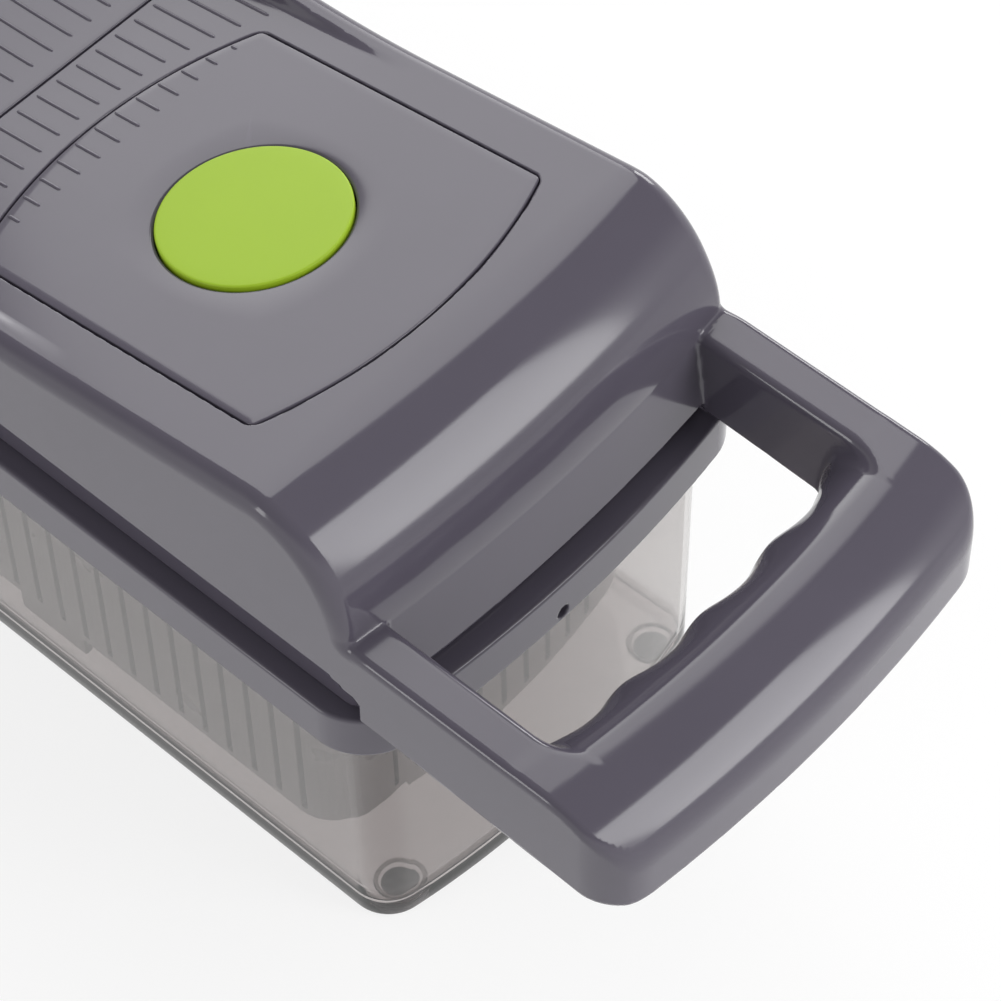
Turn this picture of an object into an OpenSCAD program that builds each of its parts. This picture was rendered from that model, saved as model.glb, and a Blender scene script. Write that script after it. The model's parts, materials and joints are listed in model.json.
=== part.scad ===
// Vegetable chopper: clear container with a drain basket, a cutting frame with a dicing grid,
// and a hinged press lid with a loop handle and a round push button.
// Millimetres, +Z up, +X towards the handle, origin on the table under the container's centre.

/* [Container] */
// Length of the clear container over its walls
cont_l = 267.2; // [256:0.4:276]
// Width of the clear container over its walls
cont_w = 102.4; // [101:0.2:104]
// Height of the container's rim above the table
cont_top = 86.3; // [84:0.1:90]
// Wall thickness of the container
cont_wall = 2.4; // [2:0.1:2.6]
// Floor thickness of the container
cont_floor = 3; // [2.6:0.1:4]
// Radius of the bowed front of the container, seen from above
cont_bow = 220; // [180:10:320]
// Radius of the container's upright corners
cont_corner = 10; // [8:0.5:12]
// How far the container's rim flange stands out
rim_out = 4.2; // [3:0.1:4.6]
// Height of the container's rim flange
rim_h = 3; // [2:0.5:5]
// Radius of a round foot pad
foot_r = 4; // [3:0.25:5]
// Height of a foot pad below the container's floor
foot_h = 0.8; // [0.5:0.1:1.2]
// Depth of the pocket that holds a foot pad
foot_pocket = 1.2; // [0.8:0.1:1.6]
// Distance from the container's end to a foot pad's centre
foot_in_x = 12; // [11:0.5:16]
// Distance from the container's side to a foot pad's centre
foot_in_y = 10.8; // [10:0.2:14]
// Height of the round boss over a foot pad, on the container's floor
foot_boss = 1; // [0.6:0.1:1.6]

/* [Drain basket] */
// Gap between the container's sides and the basket
basket_gap = 2.4; // [2:0.2:4]
// Gap between the container's ends and the basket
basket_end = 16.5; // [12:0.5:20]
// Distance from the container's rim down to the basket's rim
basket_drop = 13.6; // [13.2:0.2:18]
// Wall thickness of the basket
basket_wall = 1.6; // [1.2:0.1:2]
// Height of the basket's legs above the container's floor
basket_leg = 13.4; // [12:0.2:15]
// Distance from one drain slot to the next
slot_pitch = 7.3; // [6.8:0.1:8]
// Width of a drain slot
slot_w = 1.6; // [1.2:0.1:2.2]

/* [Cutting frame] */
// How far the frame stands out beyond the container's sides
frame_over = 7.3; // [7:0.1:8]
// How far the frame stands out beyond the container's front and rear
frame_front = 3.7; // [3.6:0.1:5]
// Height of the frame's outer band
skirt_h = 12.4; // [11:0.2:14]
// Thickness of the frame's outer band
skirt_wall = 2; // [1.6:0.1:2.1]
// Thickness of the frame's deck
deck_t = 2.3; // [2:0.1:3]
// Radius of the frame's bowed front, seen from above
frame_bow = 340; // [300:10:420]
// Radius of the frame's upright corners
frame_corner = 11.5; // [10:0.5:13]
// Radius of the small detent hole in the frame's front band
detent_r = 1.6; // [1:0.1:2]
// Distance of the detent hole to the near side of the middle
detent_y = 4.6; // [3:0.2:10]

/* [Dicing grid] */
// Distance from one blade to the next
cell = 8; // [7.8:0.1:8.2]
// Thickness of a blade
blade_t = 0.5; // [0.4:0.05:0.6]
// Height of a blade
blade_h = 4.2; // [3.6:0.1:4.4]
// Least width of the carrier's border around the grid
carrier_border = 5; // [4:0.1:5.6]
// Height of the blade carrier
carrier_h = 11.2; // [10.8:0.1:11.6]

/* [Lid] */
// Width of the lid
lid_w = 112; // [111:0.5:113]
// Height of the lid's side wall above the cutting frame's deck
lid_step = 8.3; // [7:0.1:9]
// Wall thickness of the lid
lid_wall = 2.2; // [2:0.1:2.6]
// Ledge of the frame left open in front of the lid
lid_ledge = 3.8; // [3:0.1:5]
// Radius of the lid's bowed front, seen from above
lid_bow = 450; // [400:10:600]
// Slope of the lid's top in degrees
lid_slope = 9.65; // [9:0.05:10.2]
// Height of the lid's top above the frame's deck, at the button
lid_rise = 41.15; // [40:0.05:43]
// Reach of the front roll from its crest to the front wall
roll_reach = 23; // [21:0.5:25]
// Height of the front roll
roll_h = 28; // [26:0.5:29]
// Lean of the front wall under the roll
front_lean = 2.5; // [1:0.1:3]
// Width of a side rail beside the rear valley
rail_w = 6.5; // [5.5:0.1:7]

/* [Handle] */
// Distance from the frame's front to the finger edge of the grip
finger_reach = 32; // [28:0.5:34]
// Depth of the grip from its finger edge to its outer edge
grip_depth = 30.6; // [29:0.1:34]
// Run of the grip's finger slope, from the finger edge up to the grip's crown
finger_slope = 16.2; // [13:0.2:18]
// Drop of the grip's finger slope below the arms' top
finger_drop = 12.5; // [9:0.5:14]
// Width of a handle arm
arm_w = 10.4; // [9:0.2:12]
// Height of the handle's underside above the frame's deck
arm_low = 1.8; // [1.4:0.1:3]
// Height of the handle's arms
arm_h = 22.5; // [20:0.5:24]
// Depth of a finger wave
wave_a = 0.8; // [0.5:0.1:1.4]
// Distance from one finger wave to the next
wave_pitch = 22; // [20:0.5:23]

/* [Panel and button] */
// Distance of the button's centre ahead of the container's centre
button_x = 51; // [49:0.5:52]
// Radius of the round button
button_r = 20.2; // [19:0.1:21]
// How far the button stands proud of the panel
button_proud = 0.9; // [0.5:0.1:1.5]
// Travel of the button
button_travel = 4; // [3:0.25:4]
// Width of the inset panel
panel_w = 82.4; // [80:0.2:84]
// Distance from the button's centre to the panel's front corners
panel_front = 40.3; // [38:0.1:42]
// Distance from the button's centre to the panel's rear corners
panel_rear = 38.9; // [37:0.1:40]
// Bulge of the panel's front edge
bulge_front = 8.1; // [7:0.1:9]
// Bulge of the panel's rear edge
bulge_rear = 9; // [8:0.1:10]
// Thickness of the panel and of the rear cover
panel_t = 2.4; // [2.2:0.1:2.6]
// Distance from one grip rib to the next
rib_pitch = 5.7; // [5.4:0.1:6]
// Width of a grip rib
rib_w = 1.2; // [0.9:0.1:1.5]
// Height of a grip rib
rib_h = 0.5; // [0.3:0.1:0.8]

/* [Press plate] */
// Thickness of the press plate
press_t = 3; // [2.4:0.2:3.4]
// Height of the press plate's underside above the frame's deck
press_rise = 8.3; // [8:0.1:9]
// Gap between a peg and the blades beside it
peg_gap = 0.65; // [0.55:0.05:0.8]
// How far the pegs reach into the upper blades
peg_dip = 2.8; // [2:0.1:3]
// Thickness of the stripper grid around the pegs
strip_t = 2.2; // [1.8:0.1:2.4]

/* [Hinge and hardware] */
// Radius of the steel hinge pins
pin_r = 2; // [1.8:0.05:2.2]
// Outer radius of a hinge knuckle
knuckle_r = 4.8; // [4.6:0.1:5]
// Length of the lid's hinge knuckle
knuckle_l = 11.2; // [10:0.2:13]
// Distance from the middle to a hinge knuckle's centre
knuckle_y = 39; // [36:0.5:41]
// Radius of a screw's thread
screw_r = 1.25; // [1.1:0.05:1.4]
// Wire radius of the button's spring
wire_r = 0.6; // [0.5:0.02:0.62]
// Number of curls of the button's spring
curls = 4; // [3:0.5:4]

/* [Hidden] */

$fn = 48;

// Clearances between pieces
eps = 0.01;
seat = 0.1;
run_fit = 0.06;
slip = 0.3;
bead = 0.05;
cut = 1;

// Container levels and plan
cont_x = cont_l / 2;
cont_y = cont_w / 2;
floor_top = foot_h + cont_floor;
cont_in = cont_y - cont_wall;
foot_ring = 1.6;

// Basket plan and levels
basket_y = cont_in - basket_gap;
basket_xf = cont_x - cont_wall - basket_end;
basket_corner = cont_corner;
basket_bow = cont_bow - cont_wall - basket_end;
basket_z = floor_top + seat + basket_leg;
basket_top = cont_top - basket_drop;
leg_l = 20;
leg_x = 21;
leg_t = 2;
leg_in = 5;
slot_margin = 7;
slot_foot = 2;
slot_end = 1.2;

// Frame levels and plan
deck_low = cont_top + seat;
deck_top = deck_low + deck_t;
skirt_low = deck_top - skirt_h;
frame_y = cont_y + frame_over;
frame_x = cont_x + frame_front;
detent_z = skirt_low + 2.7;

// Room that the press plate's flange and the latches take inside the lid's lip
lid_y = lid_w / 2;
lip_in = 2;
lid_in = lid_y - lip_in - lid_wall;
press_border = 1.6;
flange_w = 2.7;
hook_gap = 0.5;
hook_t = 2.6;
slide_ratio = 0.65;
latch_out = button_travel * slide_ratio;
hook_stack = press_border + flange_w + hook_gap + hook_t + latch_out + slip;

// Dicing grid: carrier in the frame's pocket, with as many cells as there is room for
pocket_wall = 2;
pocket_gap = 0.5;
pocket_half = cont_in - pocket_gap - pocket_wall;
carrier_half = pocket_half - slip;
carrier_top = deck_top - slip;
carrier_low = carrier_top - carrier_h;
cell_margin = 0.2;
grid_room = min(carrier_half - carrier_border, lid_in - hook_stack) - cell_margin;
cells = 2 * floor(grid_room / cell);
grid_half = cell * cells / 2 + cell_margin;
ledge_t = 2;
ledge_w = 3.2;
pocket_low = carrier_low - seat - ledge_t;
blade_in = 3;
long_low = carrier_top - 2 - blade_h;
cross_low = long_low - 0.2 - blade_h;
blade_len = 2 * (grid_half + blade_in);

// Blade lock on the deck in front of the pocket
lock_l = 18;
lock_w = 16;
lock_t = 2;
lock_nose = 2;
lock_x = button_x + carrier_half - lock_nose;
lock_z = deck_top + seat;
rail_t = 2;

// Lid levels and plan
lid_low = deck_top + 2 * seat;
wall_low = deck_top + lid_step;
lid_xf = frame_x - lid_ledge;
lid_xr = -cont_x + 1.6;
lid_corner = 6;
button_z = deck_top + lid_rise;
slope_t = tan(lid_slope);
roll_x = lid_xf - front_lean - roll_reach;
roll_z = z_plane(roll_x) - 0.55 - roll_h;
front_low = deck_top + arm_low + 2.5;
skin = lid_wall + panel_t;
rear_round = 16;
side_x = lid_xf - 4;

// Rails flatten behind the panel, and the valley floor sinks between them
rail_back = 6;
rail_x = button_x - rail_back;
rail_ease = 45;
valley_back = 23;
valley_x = button_x - valley_back;
valley_run = 34;
valley_ease = 50;
valley_y = lid_y - rail_w;
valley_stop = 20;
valley_end = lid_xr + valley_stop;
valley_foot = 10;
seam_back = 66.2;
seam_x = button_x - seam_back;
seam_gap = 0.5;
panel_rib = 2.2;
rib_rows_n = floor((valley_y - rib_w) / rib_pitch);
panel_rib_n = rib_rows_n - 2;
cover_gap = 0.6;
cover_y = valley_y - cover_gap;
cover_stop = 8;
cover_end = valley_end + cover_stop;
rib_end = 5;
rib_seam = 2;
rib_clear = 4;
rib_start = 10;
spot_front = 14;
spot_rear = 12;
curve_n = 14;

// Handle levels and plan
arm_z = deck_top + arm_low;
arm_top = arm_z + arm_h;
finger_x = frame_x + finger_reach;
grip_x = finger_x + grip_depth;
grip_bow = 380;
grip_corner = 10;
grip_wall = 8;
grip_sink = 2.4;
crown_x = finger_x + finger_slope;
grip_round = grip_x - crown_x;
bow_x = grip_x - grip_bow;
arm_in = lid_y - arm_w;
handle_wall = 2.6;
opening_corner = 3;
wave_n = 48;
slope_n = 9;
slope_over = 0.3;
bow_fn = 180;

// Button, spring and release, in the panel's own tilted frame
panel_gap = 0.5;
cap_low = -5;
cap_t = 1.6;
cap_wall = 2.2;
stem_r = 4;
well_r = button_r + 0.45;
well_wall = 1.6;
well_top = cap_low - button_travel - 0.6;
well_low = well_top - 1.6;
guide_r = 6;
guide_top = -cap_t - button_travel - 0.8;
clip_t = 1;
clip_top = well_low - 0.2;
clip_r = 6.4;
groove_r = 3.4;
stem_low = clip_top - clip_t - 1;
peg_level = stem_low - 5.6;
cam_low = peg_level - 2.4;
cam_top = stem_low - bead;
cam_half = 15;
cam_t = 3;
stud_r = 2;
stud_l = 5;
latch_peg_r = 1.2;
latch_slot_r = latch_peg_r + 0.2;
latch_t = 4;
latch_w = 6;
latch_x = cam_t / 2 + 0.7;
latch_peg_y = 8;
bridge_t = 2.2;
bridge_rail = 2;
bridge_guide = 36;
bridge_end = 6;
bridge_top = peg_level - latch_t / 2 - seat;
bridge_post_x = 14;
bridge_post_y = 31;
post_r = 3.6;
panel_boss_x = 33;
panel_boss_y = 34;
boss_r = 3;
boss_l = skin - panel_t + 0.4;
head_r = 2.6;
head_h = 1.6;
washer_r = 4.2;

// Press plate levels
press_z = deck_top + press_rise;
press_half = grid_half + press_border;
flange_y = press_half + flange_w;
peg_half = (cell - blade_t) / 2 - peg_gap;
peg_low = long_low + blade_h - peg_dip;
strip_border = 1.1;
strip_half = grid_half + strip_border;
tip_w = 2.3;
tip_in = flange_y - tip_w;
hook_y = flange_y + hook_gap;
tip_h = 2.4;
stop_in = 8;
stop_side = 20;

// Hinge axis behind the frame, just above its deck
hinge_x = -frame_x - knuckle_r;
hinge_z = deck_top + 3.3;
ear_l = 7;
ear_gap = 0.4;
pin_l = knuckle_l + 2 * (ear_gap + ear_l);

// Spring form: one tube along a helix of rings, with its own least gap reported
spring_r = 8;
spring_low = well_top + seat + wire_r;
spring_top = -cap_t - seat - wire_r;
spring_pitch = (spring_top - spring_low) / curls;
ring_n = 8;
side_n = 6;
rings = ceil(curls * ring_n);
function helix(i) = let (a = 360 * i / ring_n)
    [spring_r * cos(a), spring_r * sin(a), spring_low + spring_pitch * i / ring_n];
function ring_point(i, j) = let (a = 360 * i / ring_n, b = 360 * j / side_n)
    [(spring_r + wire_r * cos(b)) * cos(a), (spring_r + wire_r * cos(b)) * sin(a),
    helix(i)[2] + wire_r * sin(b)];
function curl_gap() = min([for (i = [0:rings - ring_n], k = [ring_n - 1:min(ring_n + 1, rings - i)])
    norm(helix(i + k) - helix(i))]) - 2 * wire_r;
echo(spring_least_gap = curl_gap());

// Heights of the lid's top along X
function z_plane(x) = button_z + slope_t * (x - button_x);
function eased(s, ease) = min(s, ease) - pow(min(s, ease), 2) / (2 * ease);
function z_rail(x) = x >= rail_x ? z_plane(x) : z_plane(rail_x) - slope_t * eased(rail_x - x, rail_ease);
function z_valley(x) = x >= valley_x ? z_plane(x)
    : z_plane(valley_x) - slope_t * (min(valley_x - x, valley_run)
    + eased(max(valley_x - x - valley_run, 0), valley_ease));

// Points of an arc, ends included, and a row of values
function arc(cx, cy, r, a0, a1, n) =
    [for (i = [0:n]) let (a = a0 + (a1 - a0) * i / n) [cx + r * cos(a), cy + r * sin(a)]];
function steps(a, b, n) = [for (i = [0:n]) a + (b - a) * i / n];

// Plan outline with a straight rear, a bowed front and four round corners, drawn in by a margin
function bowed(xr, xf, hy, bow, rc, m) =
    let (r = max(rc - m, 0.8), h = hy - m - r, b = bow - m, cx = xf - bow,
        fx = cx + sqrt(pow(b - r, 2) - h * h), fa = asin(h / (b - r)), rx = xr + m + r)
    concat(arc(rx, -h, r, 180, 270, 8), arc(fx, -h, r, 270, 360 - fa, 8),
        [for (i = [1:11]) let (a = -fa + 2 * fa * i / 12) [cx + b * cos(a), b * sin(a)]],
        arc(fx, h, r, fa, 90, 8), arc(rx, h, r, 90, 180, 8));

// Side outline of the lid above its wall's lower edge, front roll included
function lid_side() = concat(
    [[lid_xr, wall_low]],
    arc(lid_xr + rear_round, z_rail(lid_xr) - rear_round, rear_round, 180, 90, 8),
    [for (x = steps(rail_x - rail_ease, rail_x, curve_n)) [x, z_rail(x)]],
    [[roll_x - 6, z_plane(roll_x - 6)]],
    [for (i = [0:16]) let (a = 90 - 90 * i / 16) [roll_x + roll_reach * cos(a), roll_z + roll_h * sin(a)]],
    [[lid_xf, front_low], [side_x, front_low], [side_x, wall_low]]);

// Side outline of the lid's hollow
function lid_hollow() = concat(
    [[lid_xr + lid_wall, lid_low - cut], [lid_xr + lid_wall, z_valley(lid_xr) - skin]],
    [for (x = steps(valley_x - valley_run - valley_ease, valley_x, 2 * curve_n)) [x, z_valley(x) - skin]],
    [[roll_x - 12, z_plane(roll_x - 12) - skin]],
    [for (i = [0:12]) let (a = 90 - 90 * i / 12)
        [roll_x + (roll_reach - lid_wall) * cos(a), roll_z + (roll_h - lid_wall) * sin(a)]],
    [[lid_xf - lid_wall, front_low], [lid_xf - lid_wall, lid_low - cut]]);

// Outline of the inset panel in its own plane, drawn in by a margin
function bulge_r(half, bulge) = (half * half + bulge * bulge) / (2 * bulge);
function panel_arc(edge, bulge, m, a0, a1) =
    let (half = panel_w / 2, r = bulge_r(half, bulge), w = asin((half - m) / (r - m)))
    arc(edge + bulge - r, 0, r - m, a0 * w, a1 * w, 16);
function panel_outline(m) = concat(panel_arc(panel_front, bulge_front, m, -1, 1),
    [for (p = panel_arc(panel_rear, bulge_rear, m, -1, 1)) [-p[0], -p[1]]]);

// Placement helpers
module along_y(half) {
    rotate([90, 0, 0]) linear_extrude(2 * half, center = true) children();
}

module on_panel() {
    translate([button_x, 0, button_z]) rotate([0, -lid_slope, 0]) children();
}

module mirror_y() {
    children();
    mirror([0, 1, 0]) children();
}

module corners(x, y) {
    for (sx = [-1, 1], sy = [-1, 1]) translate([sx * x, sy * y, 0]) children();
}

module slab(x0, x1, y, z0, z1) {
    translate([x0, -y, z0]) cube([x1 - x0, 2 * y, z1 - z0]);
}

module frame_plan(m) {
    polygon(bowed(-frame_x, frame_x, frame_y, frame_bow, frame_corner, m));
}

module cont_plan(m) {
    polygon(bowed(-cont_x, cont_x, cont_y, cont_bow, cont_corner, m));
}

module lid_plan(m) {
    polygon(bowed(lid_xr, lid_xf, lid_y, lid_bow, lid_corner, m));
}

module basket_plan(m) {
    polygon(bowed(-basket_xf, basket_xf, basket_y, basket_bow, basket_corner, m));
}

// Clear container with a rim flange, foot pad pockets and a detent stud
module container() {
    color([0.86, 0.9, 0.92, 0.35]) difference() {
        union() {
            translate([0, 0, foot_h]) linear_extrude(cont_top - foot_h) cont_plan(0);
            translate([0, 0, cont_top - rim_h]) linear_extrude(rim_h)
                polygon(bowed(-cont_x - 0.6, cont_x + 0.6, cont_y + rim_out, frame_bow, cont_corner, 0));
            translate([cont_x - cont_wall, -detent_y, detent_z]) rotate([0, 90, 0])
                cylinder(r = detent_r - 0.4, h = cont_wall + 0.8);
        }
        translate([0, 0, floor_top]) difference() {
            linear_extrude(cont_top) cont_plan(cont_wall);
            corners(cont_x - foot_in_x, cont_y - foot_in_y) cylinder(r = foot_r + foot_ring, h = foot_boss);
        }
        corners(cont_x - foot_in_x, cont_y - foot_in_y)
            translate([0, 0, foot_h - eps]) cylinder(r = foot_r + bead, h = foot_pocket + eps);
    }
}

// Round pads that the container stands on
module foot_pads() {
    color([0.5, 0.5, 0.52]) corners(cont_x - foot_in_x, cont_y - foot_in_y)
        cylinder(r = foot_r, h = foot_h + foot_pocket - bead);
}

// Slotted basket that stands on four wide legs inside the container
module drain_basket() {
    rise = basket_top - basket_z;
    count_x = floor((basket_xf - basket_corner - slot_end) / slot_pitch);
    count_y = floor((basket_y - basket_corner - slot_end) / slot_pitch);
    color([0.45, 0.46, 0.48, 0.6]) {
        difference() {
            translate([0, 0, basket_z]) linear_extrude(rise) basket_plan(0);
            translate([0, 0, basket_z + basket_wall]) linear_extrude(rise) basket_plan(basket_wall);
            for (i = [-count_x:count_x]) translate([i * slot_pitch, 0, 0])
                slab(-slot_w / 2, slot_w / 2, cont_y, basket_z + slot_foot, basket_top - slot_margin);
            for (i = [-count_y:count_y]) translate([0, i * slot_pitch, 0])
                slab(-cont_x, cont_x, slot_w / 2, basket_z + slot_foot, basket_top - slot_margin);
        }
        for (x = [-leg_x, leg_x]) mirror_y()
            translate([x - leg_l / 2, basket_y - leg_in, floor_top + seat])
                cube([leg_l, leg_t, basket_leg + eps]);
    }
}

// Frame over the container: deck, outer band, dicing pocket, lock rails and hinge ears
module cutting_frame() {
    outer = pocket_half + pocket_wall;
    color([0.4, 0.39, 0.42]) difference() {
        union() {
            translate([0, 0, deck_low]) linear_extrude(deck_t) frame_plan(0);
            translate([0, 0, skirt_low]) linear_extrude(skirt_h - eps) difference() {
                frame_plan(0);
                frame_plan(skirt_wall);
            }
            translate([button_x, 0, 0]) slab(-outer, outer, outer, pocket_low, deck_top - eps);
            mirror_y() translate([lock_x + lock_nose + 2, lock_w / 2 + slip, deck_top - eps])
                cube([lock_l - lock_nose - 2, rail_t, lock_t + 2 * seat + rail_t]);
            mirror_y() translate([lock_x + lock_nose + 2, lock_w / 2 - 1.2, lock_z + lock_t + seat])
                cube([lock_l - lock_nose - 2, rail_t, rail_t - seat]);
            mirror_y() hinge_ears();
        }
        translate([button_x, 0, 0]) slab(-pocket_half, pocket_half, pocket_half,
            carrier_low - seat, deck_top + cut);
        translate([button_x, 0, 0]) slab(ledge_w - pocket_half, pocket_half - ledge_w,
            pocket_half - ledge_w, pocket_low - cut, deck_top);
        translate([frame_x - 2 * skirt_wall, -detent_y, detent_z]) rotate([0, 90, 0])
            cylinder(r = detent_r, h = 3 * skirt_wall);
        translate([hinge_x, 0, hinge_z]) rotate([90, 0, 0])
            cylinder(r = pin_r + run_fit, h = 2 * frame_y, center = true);
    }
}

// One pair of ears that hold a hinge pin
module hinge_ears() {
    for (s = [-1, 1]) translate([0, knuckle_y + s * (knuckle_l / 2 + ear_gap + ear_l / 2), 0]) {
        translate([hinge_x, 0, hinge_z]) rotate([90, 0, 0]) cylinder(r = knuckle_r, h = ear_l, center = true);
        translate([hinge_x, -ear_l / 2, deck_low - 4])
            cube([knuckle_r + skirt_wall, ear_l, hinge_z - deck_low + 4]);
    }
}

// Border that holds both layers of blades
module blade_carrier() {
    color([0.3, 0.3, 0.33]) difference() {
        translate([button_x, 0, 0])
            slab(-carrier_half, carrier_half, carrier_half, carrier_low, carrier_top);
        translate([button_x, 0, 0])
            slab(-grid_half, grid_half, grid_half, carrier_low - cut, carrier_top + cut);
        blade_rows(true, bead);
        blade_rows(false, bead);
    }
}

// Parallel strips along X or along Y, grown by a margin for their pockets
module blade_rows(lengthwise, m) {
    low = lengthwise ? long_low : cross_low;
    span = cells / 2 - 1;
    for (i = [-span:span]) translate([button_x, 0, low - m]) rotate([0, 0, lengthwise ? 0 : 90])
        translate([-blade_len / 2 - m, i * cell - blade_t / 2 - m, 0])
            cube([blade_len + 2 * m, blade_t + 2 * m, blade_h + 2 * m]);
}

// Upper blades, along the length
module blades_long() {
    color([0.78, 0.79, 0.8]) blade_rows(true, 0);
}

// Lower blades, across the width
module blades_cross() {
    color([0.78, 0.79, 0.8]) blade_rows(false, 0);
}

// Sliding lock whose nose holds the blade carrier down
module blade_lock() {
    color([0.55, 0.55, 0.58]) {
        translate([lock_x, 0, 0]) slab(0, lock_l, lock_w / 2, lock_z, lock_z + lock_t);
        for (i = [0:2]) translate([lock_x + lock_l - 3 - 3 * i, 0, 0])
            slab(0, 1.2, lock_w / 2 - 3, lock_z + lock_t - eps, lock_z + lock_t + 1);
    }
}

// Two steel pins of the lid's hinge
module hinge_pins() {
    color([0.75, 0.76, 0.78]) mirror_y() translate([hinge_x, knuckle_y, hinge_z]) rotate([90, 0, 0])
        cylinder(r = pin_r, h = pin_l, center = true);
}

// Lid shell with its roll, valley, loop handle, knuckles and inner posts
module lid() {
    color([0.46, 0.45, 0.49]) difference() {
        union() {
            lid_shell();
            handle();
            mirror_y() lid_knuckle();
            lid_posts();
            lid_ribs();
        }
        on_panel() translate([0, 0, -panel_t]) linear_extrude(panel_t + cut) panel_pocket();
        on_panel() cylinder(r = well_r + well_wall + slip, h = 4 * skin, center = true);
        on_panel() corners(panel_boss_x, panel_boss_y)
            cylinder(r = boss_r + 0.2, h = 4 * skin, center = true);
        cover_pocket();
        cover_spots() translate([0, 0, z_valley(cover_end) - 3 * skin])
            cylinder(r = boss_r + 0.2, h = 6 * skin);
        on_panel() corners(bridge_post_x, bridge_post_y)
            translate([0, 0, bridge_top - cut]) cylinder(r = screw_r + bead, h = 8 + cut);
        translate([hinge_x, 0, hinge_z]) rotate([90, 0, 0])
            cylinder(r = pin_r + run_fit, h = 2 * frame_y, center = true);
    }
}

module panel_pocket() {
    polygon(panel_outline(-panel_gap));
}

// Outer skin of the lid with its hollow and its rear valley
module lid_shell() {
    difference() {
        union() {
            intersection() {
                along_y(lid_y) polygon(lid_side());
                linear_extrude(2 * button_z) lid_plan(0);
            }
            translate([0, 0, lid_low]) linear_extrude(wall_low - lid_low + eps) lid_plan(lip_in);
        }
        intersection() {
            along_y(lid_y) polygon(lid_hollow());
            union() {
                linear_extrude(wall_low + lid_wall) lid_plan(lip_in + lid_wall);
                translate([0, 0, wall_low + lid_wall - eps]) linear_extrude(button_z) lid_plan(lid_wall);
            }
        }
        along_y(valley_y) polygon(valley_side());
    }
}

// Side outline of the space over the valley's floor
function valley_side() = concat(
    [for (x = steps(rail_x, valley_end + valley_foot, 3 * curve_n)) [x, z_valley(x)]],
    [[valley_end, z_rail(valley_end) + cut], [rail_x, z_rail(rail_x) + cut]]);

// Loop handle: two arms and a crowned grip, hollow from below
module handle() {
    difference() {
        intersection() {
            translate([0, 0, arm_z - grip_sink]) linear_extrude(arm_h + 2 * grip_sink) handle_plan(0);
            along_y(lid_y + cut) polygon(grip_side(0, 0));
        }
        intersection() {
            translate([0, 0, arm_z - 2 * grip_sink]) linear_extrude(arm_h + 2 * grip_sink)
                handle_plan(handle_wall);
            along_y(lid_y + cut) polygon(grip_side(handle_wall, cut));
            translate([lid_xf + 3, -lid_y, 0]) cube([grip_x, 2 * lid_y, 2 * button_z]);
            finger_roof();
        }
        finger_cut(0, arm_in);
    }
}

// Space over the grip's finger slope, a turned form about the axis of the grip's bow
module finger_cut(m, half) {
    intersection() {
        translate([bow_x, 0, 0]) rotate_extrude($fn = bow_fn) polygon(finger_side(m));
        translate([crown_x - 2 * finger_slope, -half, 0]) cube([2 * finger_slope, 2 * half, 2 * button_z]);
    }
}

// Space below the skin of the finger slope, open beyond the grip's crown
module finger_roof() {
    difference() {
        translate([0, -lid_y, 0]) cube([2 * grip_x, 2 * lid_y, 2 * button_z]);
        finger_cut(handle_wall, arm_in + handle_wall);
    }
}

// Side outline over the finger slope, as distances from the bow's axis, set lower by a margin
function finger_side(m) = concat(
    [for (u = steps(-slope_over, 1, slope_n))
        [finger_x + finger_slope * u - bow_x, arm_top - m - finger_drop * pow(1 - u, 2)]],
    [[crown_x - bow_x, arm_top + cut], [finger_x - finger_slope * slope_over - bow_x, arm_top + cut]]);

// Plan of the handle with its finger waves, drawn in by a margin
module handle_plan(m) {
    difference() {
        polygon(bowed(side_x - 2, grip_x, lid_y, grip_bow, grip_corner, m));
        polygon(finger_edge(m));
    }
}

function finger_edge(m) =
    let (h = arm_in + m, x1 = finger_x + m, c = opening_corner, w = h - c,
        sag = wave_a * (1 + cos(360 * w / wave_pitch)) + pow(w, 2) / (2 * grip_bow))
    concat([[side_x - 4, h], [side_x - 4, -h]], arc(x1 - c - sag, c - h, c, -90, 0, 6),
        [for (y = steps(-w, w, wave_n))
            [x1 - wave_a * (1 + cos(360 * y / wave_pitch)) - pow(y, 2) / (2 * grip_bow), y]],
        arc(x1 - c - sag, h - c, c, 0, 90, 6));

// Side outline of the handle: level arms and a grip that rounds over to its outer edge, with an
// underside that sinks a little beyond the frame
function grip_side(m, low) = let (a = grip_round - m, b = arm_h - grip_wall - m)
    concat([[side_x - 2, arm_z - low], [side_x - 2, arm_top - m]],
        [for (i = [0:10]) let (t = 90 - 9 * i)
            [crown_x + a * cos(t), arm_z + grip_wall + b * sin(t)]],
        [[grip_x - m, arm_z - grip_sink - low], [frame_x + slip, arm_z - low]]);

// One knuckle with the arm that joins it to the lid's rear
module lid_knuckle() {
    translate([hinge_x, knuckle_y, hinge_z]) rotate([90, 0, 0])
        cylinder(r = knuckle_r, h = knuckle_l, center = true);
    translate([hinge_x, knuckle_y - knuckle_l / 2, hinge_z - 1.5])
        cube([lid_xr + lid_wall - hinge_x, knuckle_l, knuckle_r + 1.5]);
}

// Posts under the lid's top: stops over the press plate and pillars for the latch bridge
module lid_posts() {
    reach = press_half - stop_in;
    stop_low = press_z + press_t + seat;
    for (x = [button_x - reach, button_x + reach]) mirror_y()
        translate([x, press_half - stop_side, stop_low])
            cylinder(r = post_r, h = z_plane(x + post_r) - skin / 2 - stop_low);
    on_panel() corners(bridge_post_x, bridge_post_y)
        translate([0, 0, bridge_top]) cylinder(r = post_r, h = -skin - bridge_top + 0.5);
}

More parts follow.
